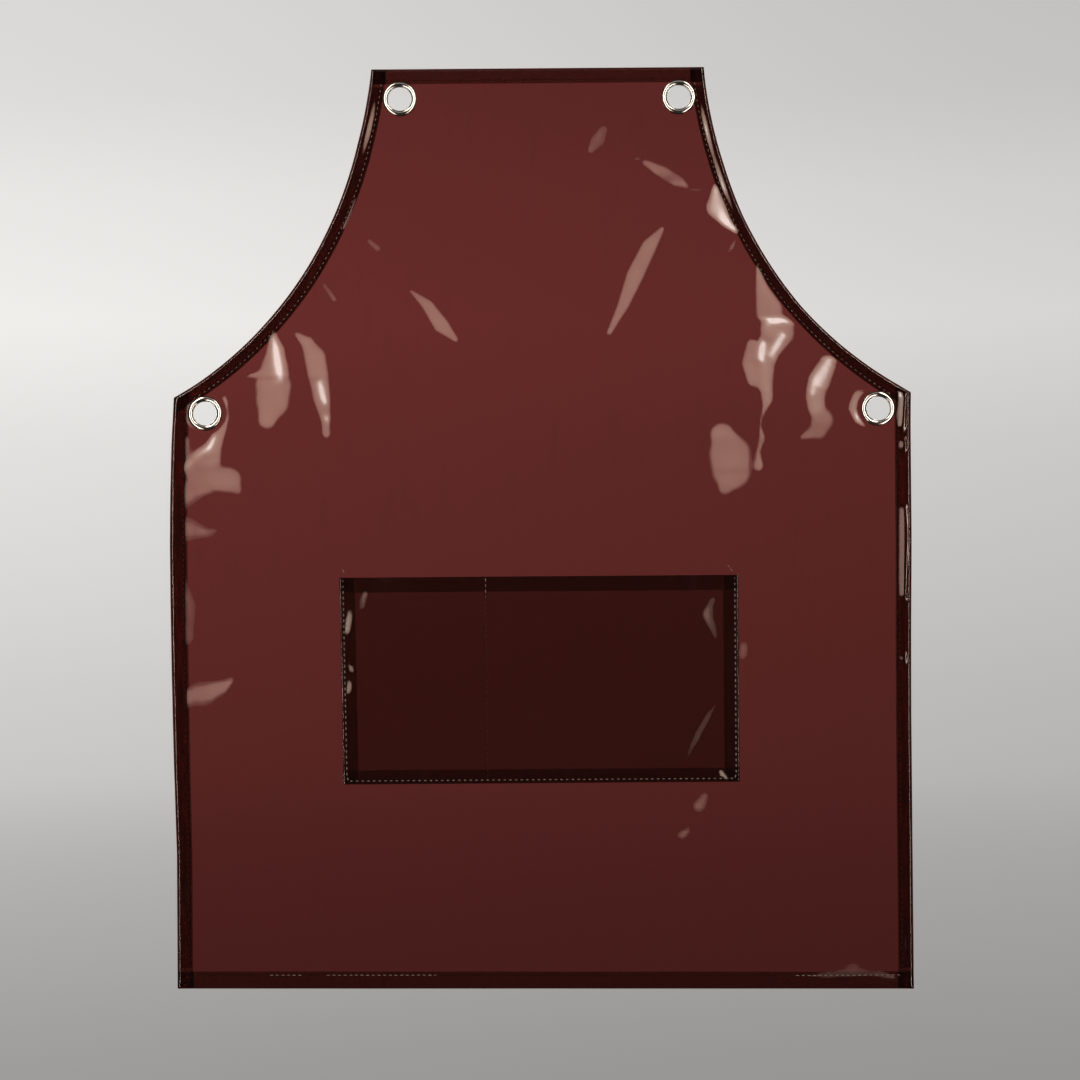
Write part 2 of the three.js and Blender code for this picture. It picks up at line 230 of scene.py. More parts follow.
class Pattern:
    """The apron's outline, and distances inside its edges."""

    def __init__(self):
        size = sizes()
        self.top, self.bottom, self.skirt = BODY_HI.z, BODY_LO.z, BODY_HI.x
        self.bib, self.waist = size.bib_width / 2, size.waist_width / 2
        self.waist_z = self.top - size.armhole_height
        run, rise = self.waist - self.bib, size.armhole_height
        xs = [
            self.bib,
            self.bib + BIB_HANDLE[0] * run,
            self.waist - WAIST_HANDLE[0] * run,
            self.waist,
        ]
        zs = [
            self.top,
            self.top - BIB_HANDLE[1] * rise,
            self.waist_z + WAIST_HANDLE[1] * rise,
            self.waist_z,
        ]
        t = np.linspace(0, 1, 401)
        shares = [(1 - t) ** 3, 3 * t * (1 - t) ** 2, 3 * t * t * (1 - t), t**3]
        self.arm_x = sum(share * x for share, x in zip(shares, xs))
        self.arm_z = sum(share * z for share, z in zip(shares, zs))
        along = np.stack([np.gradient(self.arm_x), np.gradient(self.arm_z)], 1)
        self.arm_along = along / np.linalg.norm(along, axis=1)[:, None]
        self.hems = {
            "top": size.top_hem,
            "armhole": size.armhole_hem,
            "side": size.side_hem,
            "bottom": size.bottom_hem,
        }
        self.seams = {edge: hem - size.seam_setback for edge, hem in self.hems.items()}

    def side_edge(self, z):
        share = (self.waist_z - z) / (self.waist_z - self.bottom)
        return self.waist + (self.skirt - self.waist) * np.clip(share, 0, 1)

    def half_width(self, z):
        arm = np.interp(-np.asarray(z), -self.arm_z, self.arm_x)
        return np.where(z > self.waist_z, arm, self.side_edge(z))

    def edge_distances(self, x, z):
        """How far a point is inside each kind of edge."""
        x = np.abs(x)
        fall = np.interp(-z, -self.arm_z, -self.arm_along[:, 1])
        beside = (np.interp(-z, -self.arm_z, self.arm_x) - x) * fall
        end = self.arm_along[-1]
        below = (self.waist - x) * -end[1] + (self.waist_z - z) * end[0]
        return {
            "top": self.top - z,
            "armhole": np.where(z > self.waist_z, beside, below),
            "side": self.side_edge(z) - x,
            "bottom": z - self.bottom,
        }

    def armhole_inset(self, distance, sign):
        """The line at a distance inside the armhole's edge, from the top edge to the side edge."""
        inward = np.stack([self.arm_along[:, 1], -self.arm_along[:, 0]], 1)
        line = np.stack([self.arm_x, self.arm_z], 1) + inward * distance
        start, end = self.arm_along[0], self.arm_along[-1]
        first = line[0] + start * (self.top - line[0][1]) / start[1]
        last = line[-1] + end * (self.waist - line[-1][0]) / end[0]
        line = np.vstack([first, line, last])
        return line * [sign, 1]

    def armhole_height_at(self, x):
        return np.interp(np.abs(x), self.arm_x, self.arm_z)


# ---------------------------------------------------------------- how the film hangs

# Each crease is a place where the film leans outward, given as points down its length: x to the
# right and z up from the hanging point, and half its width, in millimetres. The number before the
# points is how far across the side lamp it looks from the camera: 0 its inner edge, 1 its outer.
CREASES = {
    "teardrop_under_left_armhole": (
        0.34,
        [
            (-240, -212, 4), (-238, -226, 10), (-239, -241, 15),
            (-240, -257, 20), (-241, -271, 18), (-246, -287, 10),
        ],
    ),
    "teardrop_ear": (0.3, [(-255, -248, 4), (-265, -249, 2)]),
    "crescent_by_teardrop": (
        0.36,
        [
            (-220, -211, 3), (-209, -220, 8), (-203, -232, 12),
            (-200, -249, 12), (-197, -268, 10), (-194, -286, 6),
        ],
    ),
    "crescent_foot": (0.3, [(-194, -288, 5), (-193, -301, 5)]),
    "left_waist_eyelet_tail": (
        0.38,
        [
            (-288, -257, 2), (-284, -270, 3), (-284, -286, 4),
            (-288, -297, 5), (-293, -309, 7), (-300, -322, 14),
        ],
    ),
    "left_waist_fan": (0.3, [(-308, -333, 13), (-290, -341, 13), (-281, -342, 13)]),
    "left_waist_fan_tip": (0.26, [(-276, -347, 7), (-274, -350, 6)]),
    "left_waist_fan_foot": (0.22, [(-300, -344, 12), (-312, -349, 12), (-320, -357, 11)]),
    "left_waist_hem_patch": (0.2, [(-318, -305, 4), (-319, -316, 7)]),
    "left_side_wedge": (0.2, [(-317, -386, 12), (-303, -389, 6), (-291, -387, 3)]),
    "left_side_slope": (0.15, [(-321, -425, 3), (-321, -440, 7), (-319, -455, 10), (-318, -484, 7)]),
    "left_side_leaf": (0.25, [(-322, -539, 8), (-306, -534, 12), (-290, -529, 8), (-279, -522, 3)]),
    "bib_streak_left": (0.3, [(-116, -173, 3), (-101, -186, 7), (-89, -204, 9), (-76, -217, 4)]),
    "bib_fleck_left": (0.13, [(-153, -128, 4), (-146, -134, 5)]),
    "left_armhole_fleck": (0.24, [(-166, -89, 4), (-173, -104, 6), (-176, -116, 3)]),
    "left_armhole_fleck_low": (0.2, [(-194, -167, 3), (-185, -180, 4)]),
    "bib_fleck_top": (0.09, [(58, -29, 6), (53, -39, 9), (47, -48, 5)]),
    "bib_bar_right": (0.09, [(96, -59, 5), (110, -67, 8), (125, -76, 8), (133, -81, 4)]),
    "bib_streak_right": (0.28, [(110, -119, 4), (99, -134, 9), (86, -160, 10), (75, -187, 7), (62, -212, 4)]),
    "right_armhole_blob": (0.55, [(159, -81, 3), (160, -100, 11), (169, -113, 6), (178, -121, 3)]),
    "right_armhole_hook": (0.3, [(177, -129, 2), (173, -136, 3), (169, -142, 2)]),
    "right_armhole_wedge": (0.28, [(197, -153, 2), (200, -174, 8), (206, -192, 15)]),
    "right_waist_fold": (
        0.4,
        [(214, -213, 17), (205, -228, 13), (203, -242, 10), (203, -260, 8), (204, -273, 6), (201, -284, 2)],
    ),
    "right_waist_fold_lobe": (0.32, [(190, -224, 7), (188, -239, 9), (191, -256, 7)]),
    "right_waist_fold_tail": (
        0.3,
        [(201, -281, 3), (197, -296, 2), (199, -307, 5), (196, -320, 3), (196, -333, 6)],
    ),
    "right_bottle": (0.42, [(259, -241, 8), (251, -256, 11), (247, -269, 10), (248, -281, 9)]),
    "right_bottle_foot": (0.22, [(253, -292, 13), (250, -301, 10), (235, -307, 4)]),
    "right_shield": (0.26, [(163, -305, 14), (170, -322, 24), (171, -335, 23), (165, -353, 8)]),
    "right_waist_eyelet_crescent": (
        0.45,
        [(296, -265, 3), (285, -270, 5), (282, -281, 6), (286, -291, 5), (293, -297, 2)],
    ),
    "bottom_right_lift": (
        0.09,
        [(236, -790, 2), (256, -788, 5), (277, -785, 8), (296, -787, 5), (314, -790, 2)],
    ),
    "below_pocket_fleck": (0.14, [(145, -629, 6), (140, -638, 9)]),
    "below_pocket_fleck_low": (0.14, [(130, -659, 5), (124, -664, 7)]),
    "beside_pocket_fleck": (0.12, [(181, -494, 6), (180, -504, 6)]),
}
# Stretches where a hem is pressed flat, and leans outward in the same way.
HEM_CREASES = {
    "right_loop": (0.6, [(323, -270, 2.4), (322, -297, 2.4)]),
    "right_spot": (0.3, [(323, -312, 2.6), (323, -317, 2.6)]),
    "right_bar": (0.3, [(323, -370, 2.4), (323, -384, 2.8), (323, -440, 2.8), (323, -452, 2.4)]),
    "right_dot": (0.3, [(323, -505, 2.4), (323, -509, 2.4)]),
}
# The sharpest stretches of the creases, which look at the lamp's bright core.
GLOWS = [
    (0.83, [(-240, -213, 1.8), (-238, -224, 3.4), (-236, -239, 4.4), (-234, -251, 3)]),
    (0.95, [(-199, -254, 1.8), (-197, -262, 2.6), (-194, -273, 2)]),
    (0.9, [(-193, -286, 1.8), (-192, -289, 1.8)]),
    (0.8, [(-294, -303, 2), (-299, -313, 2.2), (-310, -320, 2.2), (-319, -330, 3)]),
    (1.0, [(195, -211, 1.8), (206, -203, 2.2), (219, -201, 2.2), (231, -204, 1.6)]),
    (1.0, [(200, -222, 2.4), (198, -236, 2.4)]),
    (1.0, [(219, -215, 2), (211, -228, 2.4), (208, -234, 1.8)]),
    (0.95, [(265, -237, 1.6), (257, -238, 2), (250, -245, 2.3), (245, -256, 2.6), (244, -267, 2.2)]),
    (0.92, [(262, -243, 1.8), (257, -250, 2.2), (252, -261, 1.9)]),
    (0.9, [(284, -287, 1.6), (289, -294, 1.8)]),
]
# Creases of the pocket alone.
POCKET_CREASES = {
    "upper_left_leaf": (-0.16, [(-155, -445, 3), (-161, -455, 7), (-164, -463, 4)]),
    "left_seam_pucker": (0.5, [(-172, -455, 3), (-171, -467, 5), (-172, -478, 4)]),
    "left_seam_fleck": (0.45, [(-171, -510, 3), (-169, -513, 4)]),
    "left_seam_fleck_low": (0.45, [(-171, -526, 4), (-172, -532, 4)]),
    "upper_right_leaf": (-0.1, [(157, -454, 6), (155, -466, 10), (159, -478, 8), (161, -494, 4)]),
    "right_diagonal": (-0.04, [(164, -541, 4), (154, -557, 7), (143, -577, 8), (134, -593, 6)]),
    "lower_right_pucker": (0.7, [(162, -608, 3), (168, -612, 3)]),
}
RIM = 0.9  # how soft a crease's rim is, in shares of its half width
RIM_START, PRESSED_START = 1.5, 1.9  # how far out the rim starts, and where a pressed hem's does
CREST = 0.28  # share of a crease's lean that only its middle has
GLOW_START, GLOW_RIM = 1.9, 1.5
RECOVERY = 45 * MM  # distance over which the film comes back beside a crease
EYELET_FLAT = 13 * MM
EYELET_RECOVERY = 6 * MM
CAMERA_DISTANCE = 2.7
LAMP_REACH = 2.2  # from the apron forward to the lamps
LAMP_INNER = 0.66
LAMP_WIDTH = 0.55

# How far the hanging film strays outward along its edges, as (height, distance) in millimetres.
STRAY = {
    "left": [
        (26, 1.8), (0, 2.6), (-40, 3.2), (-100, 2), (-150, 0.9), (-255, 0), (-283, 1.6),
        (-310, 3.2), (-350, 4.4), (-395, 5), (-450, 4.8), (-530, 3.8), (-600, 2.4), (-680, 0.2),
    ],
    "right": [
        (26, -0.9), (-60, -0.9), (-110, -2.2), (-190, -2.4), (-225, -0.8), (-245, 0.8),
        (-262, 2.4), (-300, 1.8), (-400, 1.8), (-480, 0.6), (-560, 0),
    ],
}
STRAY_BAND = 32 * MM
FOOT_BAND = (200 * MM, 170 * MM)  # where the foot's slope starts above it, and the height it takes
FOOT_LEVEL = 0.0075  # rise of the foot towards the left, per metre, which levels it in view
POCKET_STRAY = [2.4 * MM, 2.6 * MM]  # how far left the pocket sits, and what its upper left adds


def stroke(x, z, points):
    """Distance from a line of points in shares of its half width: under 1 inside, over 1 outside."""
    near = np.full(x.shape, 9.0)
    for (x0, z0, w0), (x1, z1, w1) in zip(points[:-1], points[1:]):
        dx, dz = (x1 - x0) * MM, (z1 - z0) * MM
        t = np.clip(((x - x0 * MM) * dx + (z - z0 * MM) * dz) / (dx * dx + dz * dz), 0, 1)
        reach = np.hypot(x - x0 * MM - t * dx, z - z0 * MM - t * dz)
        near = np.minimum(near, reach / ((w0 + (w1 - w0) * t) * MM))
    return near


def eyelet_centre(name):
    lo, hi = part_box(f"eyelet_{name}")
    return (lo.x + hi.x) / 2, (lo.z + hi.z) / 2


def look_out(x, share):
    """How far the film at x leans when it looks at a share of the way across the side lamp."""
    seen = LAMP_INNER + share * LAMP_WIDTH
    straight = np.abs(x) * (1 + LAMP_REACH / CAMERA_DISTANCE)
    return (seen - straight) / (2 * LAMP_REACH)


class Drape:
    """How far the film hangs behind its flat plane, from the way that its creases lean."""

    def __init__(self, pattern, creases, glows=(), pressed=()):
        self.x = np.arange(-pattern.skirt - MARGIN, pattern.skirt + MARGIN, GRID)
        self.z = np.arange(pattern.bottom - MARGIN, pattern.top + MARGIN, GRID)
        x, z = np.meshgrid(self.x, self.z)
        cover, share = np.zeros(x.shape), np.zeros(x.shape)
        flat = np.zeros(x.shape)
        for group in (creases, dict(pressed)):
            for look, points in group.values():
                near = stroke(x, z, points)
                mask = smooth((RIM_START - near) / RIM)
                crest = look * (1 - CREST + CREST * np.clip(1 - near**2, 0, 1))
                share = np.where(mask > cover, crest, share)
                cover = np.maximum(cover, mask)
                if group is not creases:
                    flat = np.maximum(flat, smooth((PRESSED_START - near) / RIM))
        for look, points in glows:
            glow = smooth((GLOW_START - stroke(x, z, points)) / GLOW_RIM)
            share = share + (look - share) * glow * np.minimum(1, cover * 1.5)
        lean = np.sign(x) * cover * np.maximum(look_out(x, share), 0)
        apart = self.x[:, None] - self.x[None, :]
        spread = np.exp(-0.5 * (apart / RECOVERY) ** 2)
        spread = (spread / spread.sum(0)[None, :]).T
        lean -= (1 - cover) * (lean @ spread) / np.maximum((1 - cover) @ spread, 0.05)
        height = np.cumsum(lean, 1) * GRID
        height -= height[:, -1:] * (np.arange(len(self.x)) / len(self.x))[None, :]
        for name in EYELETS:
            cx, cz = eyelet_centre(name)
            height *= smooth((np.hypot(x - cx, z - cz) - EYELET_FLAT) / EYELET_RECOVERY)
        self.height, self.flat = height, flat

    def pressed(self, x, z):
        """1 where a hem is pressed flat."""
        return np.clip(self(x, z, self.flat), 0, 1)

    def __call__(self, x, z, chart=None):
        """Smooth interpolation of the height map."""
        chart = self.height if chart is None else chart
        column = (np.asarray(x) - self.x[0]) / GRID
        row = (np.asarray(z) - self.z[0]) / GRID
        i, j = np.floor(row).astype(int), np.floor(column).astype(int)

        def weights(t):
            return [
                ((2 - t) * t - 1) * t / 2,
                ((3 * t - 5) * t * t + 2) / 2,
                ((4 - 3 * t) * t + 1) * t / 2,
                (t - 1) * t * t / 2,
            ]

        total = 0
        for di, wi in enumerate(weights(row - i)):
            for dj, wj in enumerate(weights(column - j)):
                rows = np.clip(i + di - 1, 0, len(self.z) - 1)
                columns = np.clip(j + dj - 1, 0, len(self.x) - 1)
                total = total + wi * wj * chart[rows, columns]
        return total


def body_drape(pattern):
    return Drape(pattern, CREASES, GLOWS, HEM_CREASES)


def puff(share):
    """The swell of a folded edge: 0 at the fold, 1 a quarter of the way in, 0 at the stitches."""
    share = np.clip(share, 0, 1)
    highest = 0.3248  # what the curve reaches at a quarter
    return share**0.5 * (1 - share) ** 1.5 / highest


def unevenness(x, z):
    """A slow change along the edges, so that no two stretches of a fold swell alike."""
    return 1 + 0.22 * np.sin(41 * z + 23 * x) + 0.14 * np.sin(97 * z - 61 * x + 1)


FOLD_ROUND = 1.5 * MM  # distance from a fold over which the film rounds off
POCKET_FOLD_ROUND = 0.8 * MM


def body_height(pattern, drape, x, z):
    """Y of the middle of the body film."""
    inside = pattern.edge_distances(x, z)
    swell = np.zeros(np.shape(x))
    nearest = np.full(np.shape(x), 1.0)
    for edge, distance in inside.items():
        swell = np.maximum(swell, puff(distance / pattern.seams[edge]))
        nearest = np.minimum(nearest, distance)
    swell = swell * np.minimum(1, np.sqrt(np.clip(nearest, 0, 1) / FOLD_ROUND))
    swell = swell * (1 - drape.pressed(x, z))
    return drape(x, z) + FRONT * sizes().puff * unevenness(x, z) * swell


# ---------------------------------------------------------------- shader maths


class Value:
    """A number on a shader socket. Arithmetic on it adds Math nodes."""

    def __init__(self, maker, socket):
        self.maker = maker
        self.socket = socket

    def _math(self, operation, first, second):
        return self.maker.node("ShaderNodeMath", {"operation": operation}, {0: first, 1: second})

    def __add__(self, other):
        return self._math("ADD", self, other)

    def __radd__(self, other):
        return self._math("ADD", other, self)

    def __sub__(self, other):
        return self._math("SUBTRACT", self, other)

    def __rsub__(self, other):
        return self._math("SUBTRACT", other, self)

    def __mul__(self, other):
        return self._math("MULTIPLY", self, other)

    def __rmul__(self, other):
        return self._math("MULTIPLY", other, self)

    def __truediv__(self, other):
        return self._math("DIVIDE", self, other)

    def __rtruediv__(self, other):
        return self._math("DIVIDE", other, self)

    def __pow__(self, other):
        return self._math("POWER", self, other)

    def __rpow__(self, other):
        return self._math("POWER", other, self)


MIX_COLOURS = (6, 7)  # the sockets of a Mix node's two colours
MIX_RESULT = 2  # and of the colour that it gives


class Finish:
    """Builds one material's nodes."""

    def __init__(self, name):
        self.material = bpy.data.materials.new(name)
        self.material.use_nodes = True
        self.tree = self.material.node_tree
        self.tree.nodes.clear()
        self.place = self.node("ShaderNodeTexCoord", output="Object")

    def node(self, kind, settings=None, inputs=None, output=0):
        node = self.tree.nodes.new(kind)
        for name, value in (settings or {}).items():
            if name == "stops":
                self._stops(node.color_ramp, value)
            else:
                setattr(node, name, value)
        for name, value in (inputs or {}).items():
            if isinstance(value, Value):
                self.tree.links.new(value.socket, node.inputs[name])
            else:
                node.inputs[name].default_value = value
        return Value(self, node.outputs[output])

    def _stops(self, ramp, stops):
        while len(ramp.elements) < len(stops):
            ramp.elements.new(1)
        for element, (position, colour) in zip(ramp.elements, stops):
            element.position = position
            element.color = (*colour, 1)

    def noise(self, scale, detail, stretch=(1, 1, 1)):
        place = self.node("ShaderNodeMapping", inputs={"Vector": self.place, "Scale": stretch})
        inputs = {"Vector": place, "Scale": scale, "Detail": detail}
        return self.node("ShaderNodeTexNoise", inputs=inputs)

    def between(self, value, low, high):
        """value, taken from low and high to 0 and 1."""
        return self.node(
            "ShaderNodeMapRange",
            {"interpolation_type": "SMOOTHSTEP"},
            {"Value": value, "From Min": low, "From Max": high},
        )

    def mix_colour(self, factor, first, second):
        inputs = {"Factor": factor}
        for socket, value in zip(MIX_COLOURS, (first, second)):
            inputs[socket] = value if isinstance(value, Value) else (*value, 1)
        return self.node("ShaderNodeMix", {"data_type": "RGBA"}, inputs, output=MIX_RESULT)

    def multiply_colours(self, first, second):
        inputs = {0: 1.0, MIX_COLOURS[0]: first, MIX_COLOURS[1]: second}
        settings = {"data_type": "RGBA", "blend_type": "MULTIPLY"}
        return self.node("ShaderNodeMix", settings, inputs, output=MIX_RESULT)

    def ramp(self, position, stops):
        """Colours along a ramp, from pairs of a position and a colour."""
        return self.node("ShaderNodeValToRGB", {"stops": stops}, {"Fac": position}, output="Color")

    def coordinate(self, axis):
        """One coordinate of the place in the world."""
        place = self.node("ShaderNodeNewGeometry", output="Position")
        return self.node("ShaderNodeSeparateXYZ", inputs={"Vector": place}, output=axis)

    def lit_surface(self, glow, strength, base, specular):
        """A rough dark surface that gives off light of its own."""
        inputs = {
            "Base Color": (base, base, base, 1),
            "Specular IOR Level": specular,
            "Roughness": 0.9,
            "Emission Color": glow,
            "Emission Strength": strength,
        }
        return self.finish(self.node("ShaderNodeBsdfPrincipled", inputs=inputs))

    def bump(self, height, strength, distance, under=None):
        inputs = {"Height": height, "Strength": strength, "Distance": distance}
        if under is not None:
            inputs["Normal"] = under
        return self.node("ShaderNodeBump", inputs=inputs)

    def finish(self, shader):
        out = self.tree.nodes.new("ShaderNodeOutputMaterial")
        self.tree.links.new(shader.socket, out.inputs["Surface"])
        return self.material


def film_finish(name, tint, body_share, index):
    """Glossy clear film: a reflecting skin over tinted clear material, with faint handling marks."""
    make = Finish(name)
    haze = make.between(make.noise(14, 4, (1, 1, 0.6)), 0.45, 0.8)
    smears = make.between(make.noise(60, 5, (1, 1, 0.25)), 0.56, 0.8)
    grain = make.noise(900, 2)
    ripple = make.noise(26, 2)
    roughness = 0.028 + 0.05 * haze + 0.09 * smears * haze
    normal = make.bump(grain, 0.02, 0.05 * MM)
    normal = make.bump(ripple, 0.12, 1.2 * MM, normal)
    depth = tuple(looks().film_depth)
    dusty = tuple(c * 2.4 + 0.002 for c in depth)
    skin = make.node(
        "ShaderNodeBsdfPrincipled",
        inputs={
            "Base Color": make.mix_colour(smears, depth, dusty),
            "Roughness": roughness,
            "IOR": index,
            "Normal": normal,
        },
    )
    clear = make.node("ShaderNodeBsdfTransparent", inputs={"Color": (*tint, 1)})
    cover = body_share + 0.03 * smears
    return make.finish(make.node("ShaderNodeMixShader", inputs={0: cover, 1: clear, 2: skin}))


def tinted_film(name, tint, body_share, index):
    """A film whose tint is what it lets through, once the share that its skin takes is allowed for."""
    clear = [min(1, c / (1 - body_share)) for c in tint]
    return film_finish(name, clear, body_share, index)


def nickel_finish(name, roughness, scratch):
    """Plated metal with fine turning marks and a little tarnish."""
    make = Finish(name)
    cloud = make.noise(260, 4)
    marks = make.noise(1400, 3, (1, 6, 1))
    colour = tuple(looks().nickel)
    dull = tuple(c * 0.82 for c in colour)
    normal = make.bump(marks, scratch, 0.04 * MM)
    metal = make.node(
        "ShaderNodeBsdfPrincipled",
        inputs={
            "Base Color": make.mix_colour(make.between(cloud, 0.45, 0.75), colour, dull),
            "Metallic": 1.0,
            "Roughness": roughness + 0.08 * make.between(cloud, 0.4, 0.8),
            "Normal": normal,
        },
    )
    return make.finish(metal)


def thread_finish():
    """Spun thread: plies that wind round it, with painted shade that makes the grooves between them darker
    and their crests paler.
    """
    make = Finish("sewing_thread")
    plies = make.node(
        "ShaderNodeTexWave",
        {"bands_direction": "DIAGONAL"},
        {"Vector": make.place, "Scale": 520.0, "Distortion": 1.5, "Detail": 1.0},
        output="Fac",
    )
    fuzz = make.noise(2600, 2)
    colour = tuple(looks().thread_colour)
    # painted shade: the base colour goes darker where the plies' bump sinks between them; the fuzz adds a
    # random tone
    dark = tuple(c * 0.45 for c in colour)
    normal = make.bump(plies * 0.8 + fuzz * 0.4, 0.5, 0.12 * MM)
    thread = make.node(
        "ShaderNodeBsdfPrincipled",
        inputs={
            "Base Color": make.mix_colour(plies * 0.7 + fuzz * 0.3, dark, colour),
            "Roughness": 0.42 + 0.25 * fuzz,
            "Sheen Weight": 0.3,
            "Normal": normal,
        },
    )
    return make.finish(thread)


FINISHES = {}
FIRST_FILM = (0.58, 1.82)  # the body film's share of reflecting skin, and its index
FURTHER_FILM = (0.4, 2.0)  # the same for each further layer
POLISHED = (0.05, 0.04)  # roughness of plated metal, and the depth of its turning marks
SATIN = (0.26, 0.25)


def finish_of(key):
    """Each finish is made once, by its slot."""
    makers = {
        "body_film": lambda: tinted_film(key, looks().first_tint, *FIRST_FILM),
        "hem_film": lambda: tinted_film(key, looks().layer_tint, *FURTHER_FILM),
        "pocket_film": lambda: tinted_film(key, looks().layer_tint, *FURTHER_FILM),
        "eyelet_metal": lambda: nickel_finish(key, *POLISHED),
        "washer_metal": lambda: nickel_finish(key, *SATIN),
        "thread": thread_finish,
    }
    if key not in FINISHES:
        FINISHES[key] = makers[key]()
    return FINISHES[key]


# ---------------------------------------------------------------- making meshes


def new_piece(name, mesh, slot, replaces):
    piece = bpy.data.objects.new(name, mesh)
    bpy.context.scene.collection.objects.link(piece)
    mesh.materials.append(finish_of(slot))
    if replaces:
        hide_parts(*replaces)
    return piece


def stray(mesh, pocket):
    """Moves a film's points as the real one strays from its pattern."""
    count = len(mesh.vertices)
    points = np.empty(count * 3)
    mesh.vertices.foreach_get("co", points)
    points = points.reshape(-1, 3)
    x, z = points[:, 0], points[:, 2]
    if pocket:
        left = np.clip(-x / POCKET_HI.x, 0, 1)
        up = np.clip((z - POCKET_LO.z) / (POCKET_HI.z - POCKET_LO.z), 0, 1)
        x = x - POCKET_STRAY[0] - POCKET_STRAY[1] * left * up
    pattern = Pattern()
    near = smooth(1 - (pattern.half_width(z) - np.abs(x)) / STRAY_BAND)
    for side, sign in SIDES.items():
        table = np.array(STRAY[side][::-1]) * MM
        outward = np.interp(z, table[:, 0], table[:, 1])
        x = x + np.where(x * sign > 0, sign * outward * near, 0)
    foot = smooth((pattern.bottom + FOOT_BAND[0] - z) / FOOT_BAND[1])
    points[:, 0], points[:, 2] = x, z - FOOT_LEVEL * x * foot
    mesh.vertices.foreach_set("co", points.ravel())


def film_piece(name, x, y, z, slot, replaces=(), drop=None):
    """A film of the right thickness through a grid of points. drop marks the faces to leave out."""
    rows, columns = x.shape
    index = np.arange(rows * columns).reshape(rows, columns)
    quads = np.stack([index[:-1, :-1], index[1:, :-1], index[1:, 1:], index[:-1, 1:]], -1)
    if drop is not None:
        quads = quads[~drop]
    quads = quads.reshape(-1, 4)
    used, quads = np.unique(quads, return_inverse=True)
    quads = quads.reshape(-1, 4)
    points = np.stack([x.ravel(), y.ravel(), z.ravel()], 1)[used]
    mesh = bpy.data.meshes.new(name)
    mesh.from_pydata(points.tolist(), [], quads.tolist())
    stray(mesh, name.startswith("pocket"))
    piece = new_piece(name, mesh, slot, replaces)
    thicken = piece.modifiers.new("thickness", "SOLIDIFY")
    thicken.thickness = sizes().film
    thicken.offset = 0
    settle(piece, 50)
    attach(piece, "root")
    return piece


def settle(piece, sharp_angle):
    """Applies the piece's modifiers and shades it smooth up to an angle in degrees."""
    graph = bpy.context.evaluated_depsgraph_get()
    mesh = bpy.data.meshes.new_from_object(piece.evaluated_get(graph))
    piece.modifiers.clear()
    piece.data = mesh
    mesh.polygons.foreach_set("use_smooth", [True] * len(mesh.polygons))
    mesh.set_sharp_from_angle(angle=math.radians(sharp_angle))


def turned_piece(name, profile, centre, slot, replaces, steps=96):
    """A closed profile of (radius, y) turned about the eyelet's axis."""
    count = len(profile)
    points, faces = [], []
    for i in range(steps):
        angle = 2 * math.pi * i / steps
        for radius, y in profile:
            points.append((centre[0] + radius * math.cos(angle), y, centre[1] + radius * math.sin(angle)))
    for i in range(steps):
        for k in range(count):
            a, b = i * count, (i + 1) % steps * count
            faces.append((a + k, b + k, b + (k + 1) % count, a + (k + 1) % count))
    mesh = bpy.data.meshes.new(name)
    mesh.from_pydata(points, [], faces)
    piece = new_piece(name, mesh, slot, replaces)
    settle(piece, 60)
    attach(piece, "root")
    return piece


def arc(middle, half_width, foot, crown, turn, steps):
    """Points of half an ellipse from one foot to the other, crowned towards turn in Y."""
    points = []
    for i in range(steps + 1):
        angle = math.pi * i / steps
        points.append((middle - half_width * math.cos(angle), foot + turn * crown * math.sin(angle)))
    return points


# ---------------------------------------------------------------- pieces

EDGE_STEPS = [0, 0.15, 0.5, 1, 1.6, 2.4, 3.3, 4.3, 5.5, 6.8, 8.2, 9.6, 11, 12.5, 14, 16]
FINE_BAND = 50 * MM
FINE_ROWS = 90 * MM  # how far below the waist the rows stay close
FINE_STEP = 2 * MM
MIDDLE_COLUMNS = 115
BIB_STEP = 2.3 * MM
SKIRT_STEP = 3.6 * MM
HOLE_RADIUS = 12.5 * MM
HOLE_SNAP = 1.0 * MM


def edge_band():
    """Distances inside an edge, close together near its fold."""
    near = [step * MM for step in EDGE_STEPS]
    return near + list(np.arange(near[-1] + FINE_STEP, FINE_BAND + FINE_STEP / 2, FINE_STEP))


def body_rows(pattern):
    near = [step * MM for step in EDGE_STEPS]
    upper = np.arange(pattern.top - near[-1] - BIB_STEP, pattern.waist_z - FINE_ROWS, -BIB_STEP)
    lower = np.arange(upper[-1] - SKIRT_STEP, pattern.bottom + near[-1] + BIB_STEP, -SKIRT_STEP)
    rows = [pattern.top - d for d in near] + list(upper) + list(lower)
    return np.array(rows + [pattern.bottom + d for d in reversed(near)])


def body_grid(pattern):
    z = body_rows(pattern)
    z[np.argmin(np.abs(z - pattern.waist_z))] = pattern.waist_z
    half = pattern.half_width(z)
    band = np.array(edge_band())
    middle = np.linspace(0, 1, 2 * MIDDLE_COLUMNS + 1)[1:-1]
    inner = half - band[-1]
    left = -half[:, None] + band[None, :]
    right = half[:, None] - band[::-1][None, :]
    between = -inner[:, None] + 2 * inner[:, None] * middle[None, :]
    x = np.hstack([left, between, right])
    return x, np.repeat(z[:, None], x.shape[1], 1)


